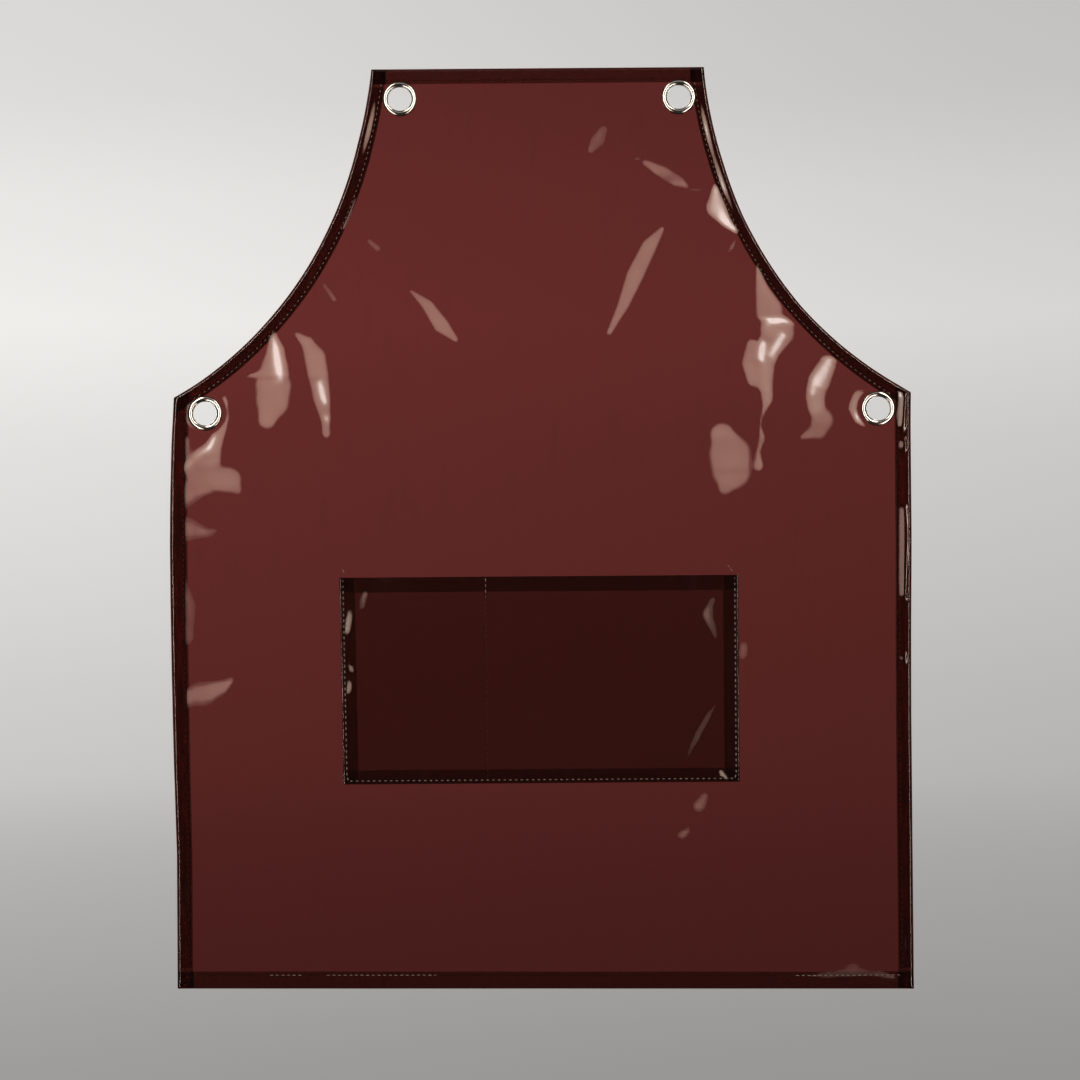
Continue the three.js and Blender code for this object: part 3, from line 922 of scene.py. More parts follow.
def cut_holes(x, z):
    """Draws the grid onto each eyelet's hole and marks the faces inside it."""
    drop = np.zeros((x.shape[0] - 1, x.shape[1] - 1), bool)
    for name in EYELETS:
        cx, cz = eyelet_centre(name)
        reach = np.hypot(x - cx, z - cz)
        rim = np.abs(reach - HOLE_RADIUS) < HOLE_SNAP
        x = np.where(rim, cx + (x - cx) * HOLE_RADIUS / np.maximum(reach, MM), x)
        z = np.where(rim, cz + (z - cz) * HOLE_RADIUS / np.maximum(reach, MM), z)
        mx = (x[:-1, :-1] + x[1:, :-1] + x[1:, 1:] + x[:-1, 1:]) / 4
        mz = (z[:-1, :-1] + z[1:, :-1] + z[1:, 1:] + z[:-1, 1:]) / 4
        drop |= np.hypot(mx - cx, mz - cz) < HOLE_RADIUS
    return x, z, drop


UNDER_STEP = 0.62 * MM  # from a hem's flap to the layer turned in behind it
LEVEL_LIFT = 0.75 * MM  # how far the top and bottom hems lie behind the others
HEM_SECTION = [0, 0.3, 1, 2, 3.3, 4.8, 6.4, 8, 9.6, 11, 12.2]
HEM_LAST_STEP = 0.4 * MM  # the least between the last two points of a hem's section
HEM_SWELL = 0.7  # share of the front's puff that the flap swells backward
RAW_CURL = 0.5 * MM  # most that a raw edge curls away from the film
RAW_CURL_RUN = 3 * MM  # distance past the stitches over which it curls
SIDE_HEM_SLACK = 0.3 * MM  # by which the side hems fall short of the edges across their ends
LEVEL_HEM_SLACK = 0.2 * MM  # the same for the top and bottom hems
SIDE_HEM_ROWS = 150
LEVEL_HEM_ROWS = 180
TUCK_BACK = 1.6 * MM  # from the frame's hems to the first layer of a tuck
TUCK_SLACK = 0.3 * MM
BIB_TUCK = 0.92  # width of a bib tuck in shares of the armhole's hem


def hem_distances(hem):
    near = [step * MM for step in HEM_SECTION if step * MM < hem - HEM_LAST_STEP]
    return near + [hem]


def hem_height(drape, x, z, depth, seam, lift):
    """Y of a hem's flap, which swells backward between its fold and its stitches."""
    flat = HEM_BACK - sizes().film / 2
    swell = HEM_SWELL * sizes().puff * puff(depth / seam) * unevenness(x, z)
    curl = RAW_CURL * smooth((depth - seam) / RAW_CURL_RUN) * (0.5 + 0.5 * np.sin(60 * z + 35 * x))
    return drape(x, z) + flat + swell + curl + lift


def side_hem_grid(pattern, sign):
    depth = np.array(hem_distances(pattern.hems["side"]))
    share = np.linspace(0, 1, SIDE_HEM_ROWS)
    upper = pattern.armhole_height_at(pattern.waist - depth) - SIDE_HEM_SLACK
    z = upper[None, :] + (pattern.bottom + SIDE_HEM_SLACK - upper[None, :]) * share[:, None]
    x = sign * (pattern.side_edge(z) - depth[None, :])
    return x, z, np.broadcast_to(depth[None, :], x.shape)


def level_hem_grid(pattern, edge, direction, hem):
    depth = np.array(hem_distances(hem))
    z = edge + direction * depth
    half = pattern.half_width(z) - LEVEL_HEM_SLACK
    x = np.linspace(-1, 1, LEVEL_HEM_ROWS)[:, None] * half[None, :]
    return x, np.broadcast_to(z[None, :], x.shape), np.broadcast_to(depth[None, :], x.shape)


def armhole_hem_grid(pattern, sign):
    depth = hem_distances(pattern.hems["armhole"])
    lines = []
    for distance in depth:
        line = pattern.armhole_inset(distance, sign)
        keep = np.concatenate([[0], np.arange(1, len(line) - 1, 3), [len(line) - 1]])
        lines.append(line[keep])
    grid = np.stack(lines, 1)
    return grid[..., 0], grid[..., 1], np.broadcast_to(np.array(depth)[None, :], grid.shape[:2])


def square_film(name, centre, size, y, drape):
    """A small rectangle of folded-in film at a corner. size is its width and height."""
    x = centre[0] + np.linspace(-0.5, 0.5, 5)[None, :] * size[0] * np.ones((5, 1))
    z = centre[1] + np.linspace(0.5, -0.5, 5)[:, None] * size[1] * np.ones((1, 5))
    piece = film_piece(name, x, drape(x, z) + y, z, "hem_film")


POCKET_FRONT = -1.6 * MM  # from the body film to the pocket's front, at its edge
POCKET_LAYER = 0.8 * MM  # from there back to what is folded in behind it
POCKET_TUCK = -1.2 * MM  # from the body film to the folded corners
POCKET_TUCK_SLACK = 1 * MM
POCKET_SWELL = 0.35 * MM  # how far the pocket's folded edge swells
POCKET_PRESSED = 0.2 * MM  # most that a crease of the pocket goes back
POCKET_EDGE_STEPS = [0, 0.2, 0.6, 1.1, 1.7, 2.4, 3, 4, 5.5, 7.5]
POCKET_EDGE = 10 * MM  # where the even part of the pocket's grid starts
POCKET_COLUMNS, POCKET_ROWS = 150, 84
TURNING_STEP = 4 * MM
DIVIDER_HALF = 3 * MM  # half of what the dividing stitches hold flat
BAY_CLEARANCE = 1.3 * MM  # between the frame's pocket and what is folded in, where it gapes most
SMALL_BAY = 0.73  # depth of the small compartment in shares of the large one's


def pocket_bays():
    """The pocket's two compartments, read from the frame: left, right and gape of each."""
    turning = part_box("pocket_side_turning_left")[1].x
    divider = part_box("needle_thread_pocket_divider")
    middle = (divider[0].x + divider[1].x) / 2
    deepest = TURNING_FRONT - POCKET_LO.y - BAY_CLEARANCE
    small = (turning, middle - DIVIDER_HALF, SMALL_BAY * deepest)
    return [small, (middle + DIVIDER_HALF, -turning, deepest)]


def pocket_gape(x, z):
    """How far the pocket stands out from the body where it is open."""
    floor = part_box("pocket_foot_turning")[1].z
    hem_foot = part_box("pocket_mouth_hem")[0].z
    rise = np.sin(math.pi / 2 * np.clip((z - floor) / (hem_foot - floor), 0, 1))
    gape = 0
    for left, right, most in pocket_bays():
        share = np.clip((x - left) / (right - left), 0, 1)
        gape = gape + most * rise * np.sin(math.pi * share) ** 2
    return gape * sizes().pocket_gape


def pocket_drape(pattern):
    """The body's drape with the pocket's own creases, which only come forward."""
    body, own = body_drape(pattern), Drape(pattern, POCKET_CREASES)
    return lambda x, z: body(x, z) + np.minimum(own(x, z), POCKET_PRESSED)


def pocket_height(drape, x, z, layer):
    """Y of a film of the pocket: layer 0 is its front, 1 what is folded in behind it."""
    front = POCKET_FRONT + layer * POCKET_LAYER
    sideways = POCKET_HI.x - np.abs(x)
    upward = z - POCKET_LO.z
    seam = sizes().pocket_seam
    swell = np.maximum(puff(sideways / seam), puff(upward / seam))
    near = np.minimum(sideways, upward)
    swell = swell * np.minimum(1, np.sqrt(np.clip(near, 0, 1) / POCKET_FOLD_ROUND))
    return drape(x, z) + front - pocket_gape(x, z) - (POCKET_SWELL * swell if layer == 0 else 0)


# ---------------------------------------------------------------- stitches

STITCH_STATIONS = [0, 0.1, 0.3, 0.5, 0.7, 0.9, 1]
STITCH_SIDES = 6


def resample(line, pitch):
    """Points at equal steps along a line, as near to the pitch as its length allows."""
    step = np.linalg.norm(np.diff(line, axis=0), axis=1)
    run = np.concatenate([[0], np.cumsum(step)])
    count = max(2, int(round(run[-1] / pitch)) + 1)
    at = np.linspace(0, run[-1], count)
    return np.stack([np.interp(at, run, line[:, k]) for k in range(2)], 1)


# How far the stitches of each seam are pulled into the film, in thicknesses of the thread.
SUNK = {"top": 1.7, "bottom": 1.7, "armhole": 0.5, "side": 0.8, "pocket": -0.05}
DIVIDER_SUNK = 1.9  # the same for the dividing line below the mouth's hem
POCKET_FOOT_SUNK = 0.7  # and what is added along the pocket's foot
MOUTH_SUNK = 1.2  # and at the mouth
SINKING = 8 * MM  # height over which the stitches sink in
POCKET_FOOT = 4 * MM
BEAD = (0.78, 1.55)  # shares of length and thread of the pocket's edge stitches, which stand out
# Where the foot's stitches lie on top, from left to right in millimetres, and how soon they sink.
FOOT_STRETCHES = [(-252, -214), (-202, -96), (221, 322)]
FOOT_FADE = 5 * MM
# The ends of thread left standing at the pocket's mouth, as (x, z) in millimetres.
TAILS = {"left": [(-178, -428), (-181, -421)], "right": [(171, -428), (166, -421)]}


def foot_shows(x):
    """1 where the stitches along the foot lie on the film instead of in it."""
    shows = 0
    for start, end in FOOT_STRETCHES:
        ends = np.minimum(x - start * MM, end * MM - x)
        shows = np.maximum(shows, smooth(ends / FOOT_FADE))
    return shows


def stitch_mesh(name, line, height, face, length, thread):
    """Stitches along a line of (x, z). height gives the film's surface, face is its side in Y."""
    places = resample(line, sizes().stitch_pitch)
    starts, ends = places[:-1], places[1:]
    span = ends - starts
    pitch = np.linalg.norm(span, axis=1)[:, None]
    along = span / pitch
    middle = (starts + ends) / 2
    across = np.stack([-along[:, 1], along[:, 0]], 1)
    points = []
    for station in STITCH_STATIONS:
        centre = middle + along * length * (station - 0.5)
        bow = math.sin(math.pi * station)
        y = height(centre[:, 0], centre[:, 1]) + face * thread * (0.62 * bow - 0.25)
        radius = thread / 2 * (0.35 + 0.65 * bow**0.4)
        for k in range(STITCH_SIDES):
            angle = 2 * math.pi * k / STITCH_SIDES
            side = across * radius * math.cos(angle)
            depth = y + radius * math.sin(angle)
            points.append(np.stack([centre[:, 0] + side[:, 0], depth, centre[:, 1] + side[:, 1]], 1))
    per_stitch = len(STITCH_STATIONS) * STITCH_SIDES
    points = np.stack(points, 1).reshape(-1, 3)
    faces = []
    last = (len(STITCH_STATIONS) - 1) * STITCH_SIDES
    for s in range(len(starts)):
        base = s * per_stitch
        for i in range(len(STITCH_STATIONS) - 1):
            for k in range(STITCH_SIDES):
                n = (k + 1) % STITCH_SIDES
                a = base + i * STITCH_SIDES
                faces.append((a + k, a + n, a + STITCH_SIDES + n, a + STITCH_SIDES + k))
        faces.append(tuple(base + k for k in reversed(range(STITCH_SIDES))))
        faces.append(tuple(base + last + k for k in range(STITCH_SIDES)))
    mesh = bpy.data.meshes.new(name)
    mesh.from_pydata(points.tolist(), [], faces)
    return mesh


def seam_lines(pattern):
    """Each line of stitches as (x, z) points."""
    seams = pattern.seams
    lines = {}
    top_z = pattern.top - seams["top"]
    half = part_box("needle_thread_top_hem")[1].x
    lines["top_hem"] = np.array([(-half, top_z), (half, top_z)])
    bottom_z = pattern.bottom + seams["bottom"]
    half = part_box("needle_thread_bottom_hem")[1].x
    lines["bottom_hem"] = np.array([(-half, bottom_z), (half, bottom_z)])
    for side, sign in SIDES.items():
        armhole = pattern.armhole_inset(seams["armhole"], sign)
        lo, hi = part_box(f"needle_thread_armhole_{side}")
        keep = (armhole[:, 1] <= hi.z) & (armhole[:, 1] >= lo.z)
        lines[f"armhole_{side}"] = armhole[keep]
        lo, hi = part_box(f"needle_thread_side_{side}")
        zs = np.linspace(hi.z, lo.z, 60)
        lines[f"side_{side}"] = np.stack([sign * (pattern.side_edge(zs) - seams["side"]), zs], 1)
    lo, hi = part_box("needle_thread_pocket_edge")
    inset = sizes().thread / 2
    left, right, low = lo.x + inset, hi.x - inset, lo.z + inset
    lines["pocket_edge"] = np.array([(left, hi.z), (left, low), (right, low), (right, hi.z)])
    lo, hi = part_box("needle_thread_pocket_divider")
    lines["pocket_divider"] = np.array([((lo.x + hi.x) / 2, hi.z), ((lo.x + hi.x) / 2, lo.z)])
    return lines


# ---------------------------------------------------------------- operators


class APRON_OT_body(bpy.types.Operator):
    """Make the body film with its creases, swollen folds and eyelet holes"""

    bl_idname = "apron.body"
    bl_label = "Body film"

    def execute(self, context):
        pattern = Pattern()
        drape = body_drape(pattern)
        x, z = body_grid(pattern)
        x, z, drop = cut_holes(x, z)
        y = body_height(pattern, drape, x, z)
        body = film_piece("body_film", x, y, z, "body_film", ["body_panel"], drop)
        rows = np.linspace(pattern.bottom, pattern.top, 2000)
        area = 2 * pattern.half_width(rows).mean() * (pattern.top - pattern.bottom)
        return {"FINISHED"}


class APRON_OT_hems(bpy.types.Operator):
    """Make the turned hems and the corner tucks"""

    bl_idname = "apron.hems"
    bl_label = "Hems"

    def execute(self, context):
        pattern = Pattern()
        drape = body_drape(pattern)
        grids = {
            "top_hem": level_hem_grid(pattern, pattern.top, -1, pattern.hems["top"]),
            "bottom_hem": level_hem_grid(pattern, pattern.bottom, 1, pattern.hems["bottom"]),
        }
        level = tuple(grids)
        for side, sign in SIDES.items():
            grids[f"armhole_hem_{side}"] = armhole_hem_grid(pattern, sign)
            grids[f"side_hem_{side}"] = side_hem_grid(pattern, sign)
        for name, (x, z, depth) in grids.items():
            kind = name.split("_")[0]
            x, z, drop = cut_holes(x, z)
            y = hem_height(drape, x, z, depth, pattern.seams[kind], LEVEL_LIFT if name in level else 0)
            hem = film_piece(f"{name}_film", x, y, z, "hem_film", [name], drop)
            self.flat(kind, pattern)
            if name not in level:
                self.under_layer(name, x, y, z, pattern, drop)
        self.tucks(pattern, drape)
        return {"FINISHED"}

    def under_layer(self, name, x, y, z, pattern, drop):
        """The raw edge of a double hem, turned in once more."""
        top, bottom = pattern.top - pattern.hems["top"], pattern.bottom + pattern.hems["bottom"]
        rows = np.where((z[:, 0] < top - MM) & (z[:, 0] > bottom + MM))[0]
        first, last = rows[0], rows[-1]
        x, y, z = (chart[first : last + 1, 2:-1] for chart in (x, y, z))
        drop = drop[first:last, 2:-1]
        layer = film_piece(f"{name}_inner_film", x, y + UNDER_STEP, z, "hem_film", drop=drop)
        across = np.hypot(x[0, -1] - x[0, 0], z[0, -1] - z[0, 0])

    def flat(self, kind, pattern):
        """A hem's depth and length when it is laid flat."""
        armhole = np.diff(pattern.armhole_inset(0, 1), axis=0)
        lengths = {
            "top": 2 * pattern.bib,
            "bottom": 2 * pattern.skirt,
            "armhole": float(np.linalg.norm(armhole, axis=1).sum()),
            "side": pattern.waist_z - pattern.bottom,
        }
        return (pattern.hems[kind], lengths[kind])

    def tucks(self, pattern, drape):
        """The film folded in at the four outer corners, which makes them darkest."""
        hems = pattern.hems
        for side, sign in SIDES.items():
            corners = {
                "bib": (pattern.bib, hems["armhole"] * BIB_TUCK, pattern.top, -hems["top"]),
                "skirt": (pattern.skirt, hems["side"], pattern.bottom, hems["bottom"]),
            }
            for corner, (edge, width, level, height) in corners.items():
                centre = (sign * (edge - TUCK_SLACK - width / 2), level + height / 2)
                for layer in range(2):
                    name = f"{corner}_tuck_{side}_{layer + 1}"
                    size = (width, abs(height) - 2 * TUCK_SLACK)
                    y = HEM_BACK + TUCK_BACK + layer * UNDER_STEP
                    square_film(name, centre, size, y, drape)


class APRON_OT_pocket(bpy.types.Operator):
    """Make the pocket, its mouth hem and its turned edges"""

    bl_idname = "apron.pocket"
    bl_label = "Pocket"

    def execute(self, context):
        drape = pocket_drape(Pattern())
        lo, hi = POCKET_LO, POCKET_HI
        edge = [step * MM for step in POCKET_EDGE_STEPS]
        xs = [lo.x + d for d in edge]
        xs += list(np.linspace(lo.x + POCKET_EDGE, hi.x - POCKET_EDGE, POCKET_COLUMNS))
        xs += [hi.x - d for d in reversed(edge)]
        zs = list(np.linspace(hi.z, lo.z + POCKET_EDGE, POCKET_ROWS)) + [lo.z + d for d in reversed(edge)]
        self.film("pocket_panel", drape, xs, zs, 0)
        turnings = [f"pocket_side_turning_{side}" for side in SIDES]
        for name in ["pocket_mouth_hem", "pocket_foot_turning", *turnings]:
            low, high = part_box(name)
            columns = max(4, int((high.x - low.x) / TURNING_STEP))
            rows = max(4, int((high.z - low.z) / TURNING_STEP))
            xs, zs = np.linspace(low.x, high.x, columns), np.linspace(high.z, low.z, rows)
            self.film(name, drape, xs, zs, 1)
        for side in SIDES:
            self.tucks(side, drape)
        return {"FINISHED"}

    def film(self, node, drape, xs, zs, layer):
        """One film of the pocket: layer 0 is its front, 1 what is folded in behind it."""
        x, z = np.meshgrid(np.array(xs), np.array(zs))
        name, slot, lies_on = f"{node}_film", "hem_film", "pocket_film"
        if layer == 0:
            name, slot, lies_on = "pocket_film", "pocket_film", "body_film"
        piece = film_piece(name, x, pocket_height(drape, x, z, layer), z, slot, [node])

    def tucks(self, side, drape):
        """The two folded corners of one side."""
        left, right = (corner.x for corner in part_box(f"pocket_side_turning_{side}"))
        for end, node in (("upper", "pocket_mouth_hem"), ("lower", "pocket_foot_turning")):
            foot, head = (corner.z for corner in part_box(node))
            size = (right - left - POCKET_TUCK_SLACK, head - foot - POCKET_TUCK_SLACK)
            centre = ((left + right) / 2, (foot + head) / 2)
            square_film(f"pocket_tuck_{end}_{side}", centre, size, POCKET_TUCK, drape)


CURL = 2.65 * MM  # width of the barrel's end where it is rolled over the washer
SHOULDER = (0.4 * MM, 0.3 * MM)  # bevel behind the flange where it turns into the barrel
FLANGE_STEPS, CURL_STEPS = 28, 14
WASHER_BEVEL = 0.15 * MM


class APRON_OT_eyelets(bpy.types.Operator):
    """Make the four polished eyelets and their washers"""

    bl_idname = "apron.eyelets"
    bl_label = "Eyelets and washers"

    def execute(self, context):
        bore, wall = sizes().bore / 2, sizes().barrel_wall
        for name in EYELETS:
            centre = eyelet_centre(name)
            lo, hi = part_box(f"eyelet_{name}")
            washer_lo, washer_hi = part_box(f"washer_{name}")
            rim = (hi.x - lo.x) / 2
            foot = BODY_LO.y - LAYER_GAP
            curl_foot = washer_hi.y + LAYER_GAP
            flange = arc((bore + rim) / 2, (rim - bore) / 2, foot, foot - lo.y, FRONT, FLANGE_STEPS)
            rolled = arc(bore + CURL / 2, CURL / 2, curl_foot, hi.y - curl_foot, BACK, CURL_STEPS)
            outside = bore + wall
            profile = flange + [(outside + SHOULDER[0], foot), (outside, foot + SHOULDER[1])]
            profile += [(outside, curl_foot)] + list(reversed(rolled))
            turned_piece(f"eyelet_{name}_ring", profile, centre, "eyelet_metal", [f"eyelet_{name}"])
            inner, bevel = outside + LAYER_GAP, WASHER_BEVEL
            front, back = washer_lo.y, washer_hi.y
            ring = [
                (inner, front + bevel),
                (inner + bevel, front),
                (rim - bevel, front),
                (rim, front + bevel),
                (rim, back - bevel),
                (rim - 2 * bevel, back),
                (inner + bevel, back),
                (inner, back - bevel),
            ]
            turned_piece(f"washer_{name}_ring", ring, centre, "washer_metal", [f"washer_{name}"])
        return {"FINISHED"}


class APRON_OT_stitches(bpy.types.Operator):
    """Make the needle stitches at the front and the bobbin stitches at the back"""

    bl_idname = "apron.stitches"
    bl_label = "Stitches"

    def execute(self, context):
        pattern = Pattern()
        body, pocket = body_drape(pattern), pocket_drape(pattern)
        half_film, thread = sizes().film / 2, sizes().thread
        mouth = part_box("pocket_mouth_hem")[0].z
        for seam, line in seam_lines(pattern).items():
            kind = seam.split("_")[0]

            def front(x, z):
                sunk = SUNK[kind]
                if seam == "pocket_divider":
                    sunk = DIVIDER_SUNK * smooth((mouth - z) / SINKING)
                if kind == "bottom":
                    sunk = sunk * (1 - foot_shows(x))
                if seam == "pocket_edge":
                    foot = smooth((POCKET_LO.z + POCKET_FOOT - z) / MM)
                    sunk = sunk + POCKET_FOOT_SUNK * foot + MOUTH_SUNK * smooth((z - mouth) / SINKING)
                if kind == "pocket":
                    return pocket_height(pocket, x, z, 0) - half_film + sunk * thread
                return body_height(pattern, body, x, z) - half_film + sunk * thread

            def back(x, z):
                if kind == "pocket":
                    return body(x, z) + half_film
                lift = LEVEL_LIFT if kind in ("top", "bottom") else UNDER_STEP
                return body(x, z) + HEM_BACK + lift

            self.stitch(f"needle_stitches_{seam}", line, front, FRONT, [f"needle_thread_{seam}"])
            self.stitch(f"bobbin_stitches_{seam}", line, back, BACK, [f"bobbin_thread_{seam}"])
        for side, line in TAILS.items():

            def surface(x, z):
                return body_height(pattern, body, x, z) - half_film

            self.stitch(f"thread_tail_{side}", np.array(line) * MM, surface, FRONT, [])
        return {"FINISHED"}

    def stitch(self, name, line, height, face, replaces):
        longer, thicker = BEAD if name == "needle_stitches_pocket_edge" else (1, 1)
        length, thread = sizes().stitch_length * longer, sizes().thread * thicker
        mesh = stitch_mesh(name, line, height, face, length, thread)
        stray(mesh, "pocket" in name)
        piece = new_piece(name, mesh, "thread", replaces)
        settle(piece, 60)
        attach(piece, "root")


FLOOR = -1.12
COVE = 2.2  # radius of the bend between floor and wall
WALL = 8.5  # from the apron out to the wall
WALL_TOP = 7.0
COVE_STEPS = 12
ROUND_STEPS = 96
GLOW_RUN = 16.0  # length of the backdrop's gradient, out along the floor and up the wall
# The backdrop's brightness along that gradient.
BACKDROP_STOPS = [
    (0.0, 0.36),
    (0.1, 0.42),
    (0.16, 0.475),
    (0.27, 0.55),
    (0.47, 0.72),
    (0.58, 0.88),
    (0.62, 1.0),
    (0.656, 0.93),
    (0.68, 0.83),
    (0.8, 0.68),
    (1.0, 0.5),
]
# A lamp's light from its inner edge to its outer one.
SCREEN_STOPS = [
    (0.0, (0.0, 0.0, 0.0)),
    (0.03, (0.05, 0.035, 0.03)),
    (0.1, (0.075, 0.053, 0.045)),
    (0.17, (0.22, 0.152, 0.122)),
    (0.4, (0.31, 0.238, 0.19)),
    (0.6, (0.4, 0.335, 0.265)),
    (0.72, (0.6, 0.56, 0.48)),
    (0.8, (1.0, 0.99, 0.92)),
    (0.96, (1.0, 0.99, 0.92)),
    (1.0, (0.0, 0.0, 0.0)),
]
BACKDROP_SIDES = (-2.5, 2.5)  # the backdrop fades from left to right between these
BACKDROP_TONES = (1.1, 0.84)  # its brightness at each
SCREEN_STRENGTH = 13.0
SCREEN_TOP = 2.2  # the screens reach as far below the hanging point as above it
SCREEN_FADE = (-1.6, 0.1)  # heights between which they fade towards the floor
SCREEN_LOW = (0.55, 0.53, 0.52)  # what is left of their light at the foot
STRIP_SIZE = (1.7, 0.45)
STRIP_OUT = 0.62  # how far out the strips are, in shares of the screens' distance
STRIP_HEIGHT, STRIP_AIM = 1.0, -0.2
STRIP_RADIANCE = 0.5
STRIP_COLOUR = (1, 0.93, 0.86)
ROOM = (0.025, 0.023, 0.021, 1)
LENS = 100
SENSOR = 36
CAMERA_ROLL = -0.43  # the apron hangs a little askew
CAMERA_SHIFT = (-2.3 * MM, -10.4 * MM)  # sideways, and down from the apron's middle


class APRON_OT_stage(bpy.types.Operator):
    """Make the pale backdrop, the lamps and the camera"""

    bl_idname = "apron.stage"
    bl_label = "Stage"

    def execute(self, context):
        self.backdrop()
        self.lamps()
        self.camera(context)
        return {"FINISHED"}

    def backdrop(self):
        """A round floor that bends up into a wall."""
        profile = [(WALL - COVE, FLOOR)]
        for i in range(1, COVE_STEPS + 1):
            angle = math.pi / 2 * i / COVE_STEPS
            out = WALL - COVE + COVE * math.sin(angle)
            profile.append((out, FLOOR + COVE - COVE * math.cos(angle)))
        profile.append((WALL, WALL_TOP))
        points, faces = [(0, 0, FLOOR)], []
        for i in range(ROUND_STEPS):
            angle = 2 * math.pi * i / ROUND_STEPS
            points += [(r * math.cos(angle), r * math.sin(angle), z) for r, z in profile]
        count = len(profile)
        for i in range(ROUND_STEPS):
            a, b = 1 + i * count, 1 + (i + 1) % ROUND_STEPS * count
            faces.append((0, a, b))
            faces += [(a + k, a + k + 1, b + k + 1, b + k) for k in range(count - 1)]
        mesh = bpy.data.meshes.new("backdrop")
        mesh.from_pydata(points, [], faces)
        mesh.polygons.foreach_set("use_smooth", [True] * len(mesh.polygons))
        backdrop = bpy.data.objects.new("backdrop", mesh)
        bpy.context.scene.collection.objects.link(backdrop)
        mesh.materials.append(self.backdrop_finish())
        backdrop.visible_glossy = False

    def backdrop_finish(self):
        """A pale surface whose own soft light is strongest part of the way up the wall."""
        make = Finish("pale_backdrop")
        x, y, z = (make.coordinate(axis) for axis in "XYZ")
        run = (x * x + y * y) ** 0.5 + (z - FLOOR)
        ramp = make.ramp(run / GLOW_RUN, [(at, (v, v, v)) for at, v in BACKDROP_STOPS])
        colour = tuple(looks().backdrop)
        left, right = (tuple(c * tone for c in colour) for tone in BACKDROP_TONES)
        tone = make.mix_colour(make.between(x, *BACKDROP_SIDES), left, right)
        return make.lit_surface(make.multiply_colours(ramp, tone), 1.0, base=0, specular=0.0)

    def strip(self, name, depth):
        """A faint lamp above the apron that aims at it."""
        light = bpy.data.lights.new(name, "AREA")
        light.shape = "RECTANGLE"
        light.size, light.size_y = STRIP_SIZE
        light.energy = STRIP_RADIANCE * math.pi * STRIP_SIZE[0] * STRIP_SIZE[1]
        light.color = STRIP_COLOUR
        lamp = bpy.data.objects.new(name, light)
        place, aim = Vector((0, depth * STRIP_OUT, STRIP_HEIGHT)), Vector((0, 0, STRIP_AIM))
        lamp.location = place
        lamp.rotation_mode = "QUATERNION"
        lamp.rotation_quaternion = (aim - place).to_track_quat("-Z", "Y")
        lamp.visible_camera = False
        bpy.context.scene.collection.objects.link(lamp)

    def softbox_finish(self):
        """A lit screen: warm and dim at its inner edge, white at its core, fainter towards the floor."""
        make = Finish("softbox_screen")
        x, z = (make.coordinate(axis) for axis in "XZ")
        across = ((x * x) ** 0.5 - LAMP_INNER) / LAMP_WIDTH
        fade = make.mix_colour(make.between(z, *SCREEN_FADE), SCREEN_LOW, (1, 1, 1))
        glow = make.multiply_colours(make.ramp(across, SCREEN_STOPS), fade)
        return make.lit_surface(glow, SCREEN_STRENGTH, base=0.02, specular=0.5)

    def screen(self, name, sign, depth, finish):
        inner, outer = sign * LAMP_INNER, sign * (LAMP_INNER + LAMP_WIDTH)
        ends = [(inner, -SCREEN_TOP), (outer, -SCREEN_TOP), (outer, SCREEN_TOP), (inner, SCREEN_TOP)]
        corners = [(x, depth, z) for x, z in ends]
        if sign * depth > 0:
            corners.reverse()
        mesh = bpy.data.meshes.new(name)
        mesh.from_pydata(corners, [], [(0, 1, 2, 3)])
        mesh.materials.append(finish)
        screen = bpy.data.objects.new(name, mesh)
        screen.visible_camera = False
        bpy.context.scene.collection.objects.link(screen)

    def lamps(self):
        finish = self.softbox_finish()
        for facing, depth in (("front", -LAMP_REACH), ("back", LAMP_REACH)):
            for side, sign in SIDES.items():
                self.screen(f"{facing}_{side}_screen", sign, depth, finish)
            self.strip(f"{facing}_top_strip", depth)
        world = bpy.data.worlds.new("dim_room")
        world.use_nodes = True
        world.node_tree.nodes["Background"].inputs["Color"].default_value = ROOM
        bpy.context.scene.world = world

    def camera(self, context):
        lo, hi = CAD_BOX
        data = bpy.data.cameras.new("camera")
        data.lens, data.sensor_width = LENS, SENSOR
        data.clip_start, data.clip_end = 0.05, 60
        camera = bpy.data.objects.new("camera", data)
        middle = (lo.z + hi.z) / 2
        camera.location = (CAMERA_SHIFT[0], -CAMERA_DISTANCE, middle + CAMERA_SHIFT[1])
        camera.rotation_mode = "QUATERNION"
        level = Quaternion((1, 0, 0), math.pi / 2)
        camera.rotation_quaternion = level @ Quaternion((0, 0, 1), math.radians(CAMERA_ROLL))
        context.scene.collection.objects.link(camera)
        context.scene.camera = camera
        context.scene.view_settings.view_transform = "Standard"


class APRON_PT_panel(bpy.types.Panel):
    """The apron's tools in the sidebar"""

    bl_idname = "APRON_PT_panel"
    bl_label = "Apron"
    bl_space_type = "VIEW_3D"
    bl_region_type = "UI"
    bl_category = "Apron"

    def draw(self, context):
        for operator in OPERATORS:
            self.layout.operator(operator.bl_idname)
        for group in (context.scene.apron_sizes, context.scene.apron_looks):
            for name in group.__annotations__:
                self.layout.prop(group, name)


OPERATORS = (
    APRON_OT_stage,
    APRON_OT_body,
    APRON_OT_hems,
    APRON_OT_pocket,
    APRON_OT_eyelets,
    APRON_OT_stitches,
)
CLASSES = (ApronSizes, ApronLooks, *OPERATORS, APRON_PT_panel)


def register():
    for made in CLASSES:
        bpy.utils.register_class(made)
    bpy.types.Scene.apron_sizes = PointerProperty(type=ApronSizes)
    bpy.types.Scene.apron_looks = PointerProperty(type=ApronLooks)


def unregister():
    del bpy.types.Scene.apron_looks
    del bpy.types.Scene.apron_sizes
    for made in reversed(CLASSES):
        bpy.utils.unregister_class(made)


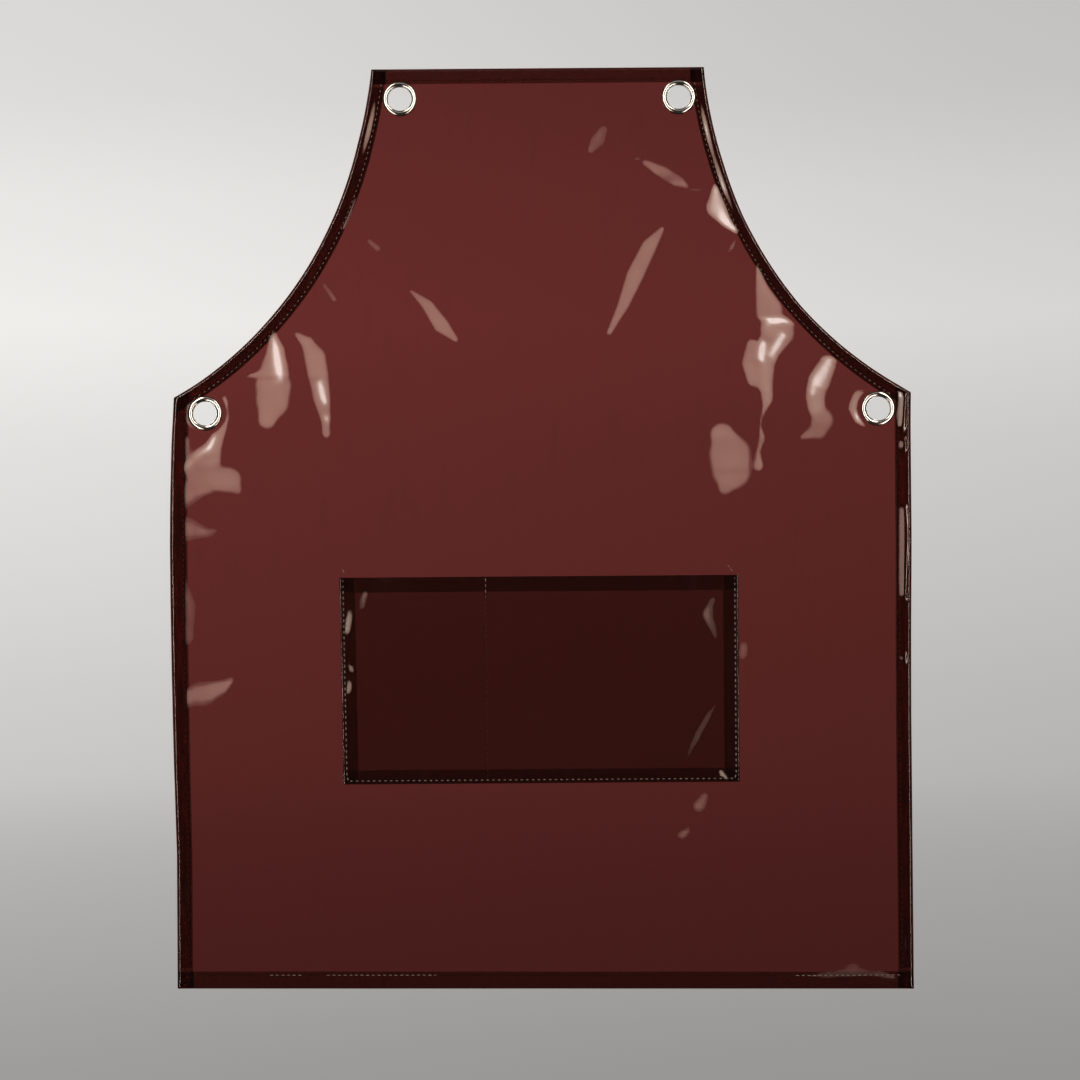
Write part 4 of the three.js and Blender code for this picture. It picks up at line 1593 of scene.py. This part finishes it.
def main():
    register()
    for operator in OPERATORS:
        group, name = operator.bl_idname.split(".")
        getattr(getattr(bpy.ops, group), name)()


if __name__ == "__main__":
    main()
